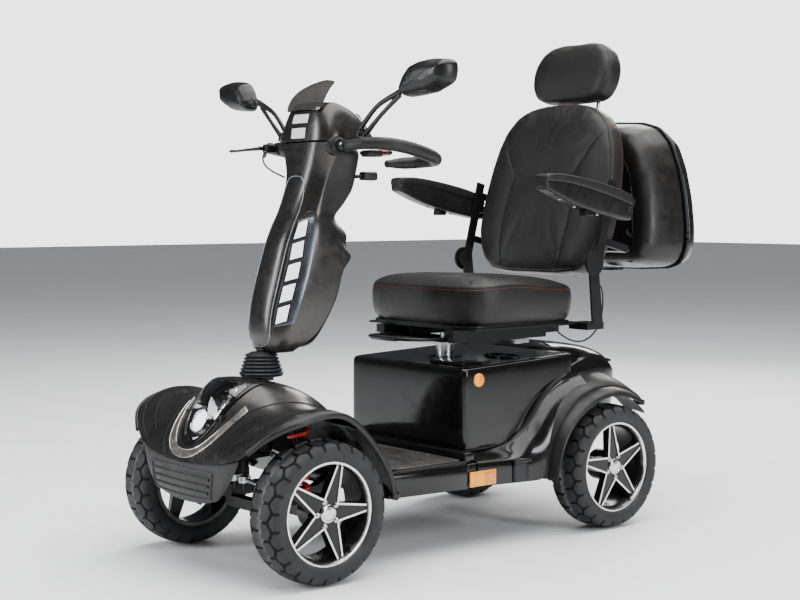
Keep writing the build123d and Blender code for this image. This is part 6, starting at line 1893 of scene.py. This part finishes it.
def make_reflectors():
    """Round and rectangular amber reflectors on both sides, and the tail lamps."""
    parts = []
    for side in SIDES:
        parts.append(turned(f"round_reflector_{WORDS[side]}", [(-1, 18.5), (3, 18.5), (4.5, 17), (4.5, 14.5)],
                (side * 250, -54, 457), (side, 0, 0), AMBER, 40))
        parts.append(plate(f"round_prism_{WORDS[side]}", [(16 * math.cos(a), 16 * math.sin(a)) for a in
                np.linspace(-math.pi / 2, math.pi / 2, 13)],
                (side * 254.2, -54, 457), (0, 1, 0), (0, 0, side), 0.9, AMBER_DEEP, 0.2))
        low = (side * 306 - 3, -137, 178)
        parts.append(block(f"side_reflector_{WORDS[side]}", low, (side * 306 + 3.5, -42, 219), AMBER, 2))
        parts.append(block(f"side_prism_{WORDS[side]}", (side * 309.4 - 0.8, -86, 181),
                (side * 309.4 + 0.8, -45, 216), AMBER_DEEP, 0.5))
        parts.append(block(f"tail_lamp_{WORDS[side]}", (side * 150 - 34, 541, 408), (side * 150 + 34, 553, 448),
                TAIL_RED, 4))
        parts.append(block(f"turn_lamp_{WORDS[side]}", (side * 150 - 34, 541, 366), (side * 150 + 34, 551, 400),
                AMBER, 4))
    ride(joined("reflector_set", parts), "chassis", ("reflectors_and_lamps",))


make_reflectors()


def make_seat_wiring():
    """White plug under the seat with its two short leads."""
    plug = [block("plug_body", (104, 208, 532), (124, 240, 546), PLUG_WHITE, 2),
        block("plug_cap", (106, 240, 533), (122, 268, 545), PLUG_WHITE, 2)]
    for k, x in enumerate((110, 118)):
        plug.append(hose(f"plug_wire_{k}", [(x, 266, 539), (x + 14, 300, 536), (x + 30, 330, 522)], 1.6, SHEATH,
                sides=8))
        plug.append(hose(f"plug_tail_{k}", [(x, 210, 539), (x - 16, 180, 540), (x - 40, 150, 546)], 1.6, SHEATH,
                sides=8))
    return joined("seat_plug", plug)


ride(make_seat_wiring(), "seat_swivel", ())


# --------------------------------------------------------------------------
# Working parts that show as the CAD has them
# --------------------------------------------------------------------------
shown_parts = {
    "frame": STEEL_BLACK, "floor_pan": DARK_SATIN, "batteries": BATTERY, "damper_bodies": STEEL_BLACK,
    "front_axle_beam": STEEL_BLACK, "rear_swing_arm": STEEL_BLACK, "transaxle": CAST_GREY,
    "steering_stem": STEEL_BLACK, "tiller_column": STEEL_BLACK, "seat_post": ZINC, "seat_swivel": STEEL_BLACK,
    "seat_base": STEEL_BLACK, "back_frame": STEEL_BLACK}
for side in SIDES:
    shown_parts[f"knuckle_{WORDS[side]}"] = CAST_GREY
    shown_parts[f"tie_rod_{WORDS[side]}"] = ZINC
for name, node in nodes.items():
    if node.hide_render:
        continue
    material = shown_parts.get(name, DARK_SATIN)
    node.data.materials.clear()
    node.data.materials.append(material)
    for polygon in node.data.polygons:
        polygon.material_index = 0


# --------------------------------------------------------------------------
# Floor and light
# --------------------------------------------------------------------------
FLOOR_HALF = 30000
BACKDROP_GLOW, WORLD_FILL, WORLD_IN_GLOSS = 3.2, 0.34, 0.07


def make_studio():
    """White floor, a bright backdrop, a dim world and four soft panels of light."""
    floor = mesh_piece("studio_floor", [(-FLOOR_HALF, -FLOOR_HALF, 0), (FLOOR_HALF, -FLOOR_HALF, 0),
            (FLOOR_HALF, FLOOR_HALF, 0), (-FLOOR_HALF, FLOOR_HALF, 0)], [(0, 1, 2, 3)],
        finish("studio paper", (0.90, 0.90, 0.90), 0.85, tone=0.01, size=1.0))
    world = bpy.data.worlds.new("studio")
    scene.world = world
    world.use_nodes = True
    tree = world.node_tree
    tree.nodes.clear()
    seen = put(tree, "ShaderNodeBackground", {"Color": (1.0, 1.0, 1.0, 1.0), "Strength": BACKDROP_GLOW})
    felt = put(tree, "ShaderNodeBackground", {"Color": (0.90, 0.95, 1.0, 1.0), "Strength": WORLD_FILL})
    ray = put(tree, "ShaderNodeLightPath")
    dim = put(tree, "ShaderNodeBackground", {"Color": (0.85, 0.92, 1.0, 1.0), "Strength": WORLD_IN_GLOSS})
    lit = put(tree, "ShaderNodeMixShader", {0: ray.outputs["Is Glossy Ray"], 1: felt.outputs[0],
            2: dim.outputs[0]})
    mix = put(tree, "ShaderNodeMixShader", {0: ray.outputs["Is Camera Ray"], 1: lit.outputs[0],
            2: seen.outputs[0]})
    put(tree, "ShaderNodeOutputWorld", {"Surface": mix.outputs[0]})
    lamps = (("overhead", (0.6, 0.4, 4.6), (0, 0.2, 0.0), 7.0, 5.0, 620, (1.0, 1.0, 1.0)),
        ("front left", (-1.6, -4.2, 1.9), (0, -0.3, 0.6), 0.9, 2.6, 150, (0.93, 0.96, 1.0)),
        ("right wall", (4.4, 0.6, 1.7), (0, 0.1, 0.6), 0.9, 2.4, 120, (0.95, 0.97, 1.0)),
        ("back", (-2.0, 3.6, 2.6), (0, 0.2, 0.8), 2.0, 1.6, 90, (1.0, 0.98, 0.95)))
    for name, spot, aim, wide, tall, power, colour in lamps:
        light = bpy.data.lights.new(name, "AREA")
        light.shape = "RECTANGLE"
        light.size, light.size_y = wide, tall
        light.energy = power
        light.color = colour
        lamp = link(bpy.data.objects.new(name, light))
        lamp.location = spot
        lamp.rotation_euler = (Vector(aim) - Vector(spot)).to_track_quat("-Z", "Y").to_euler()


make_studio()
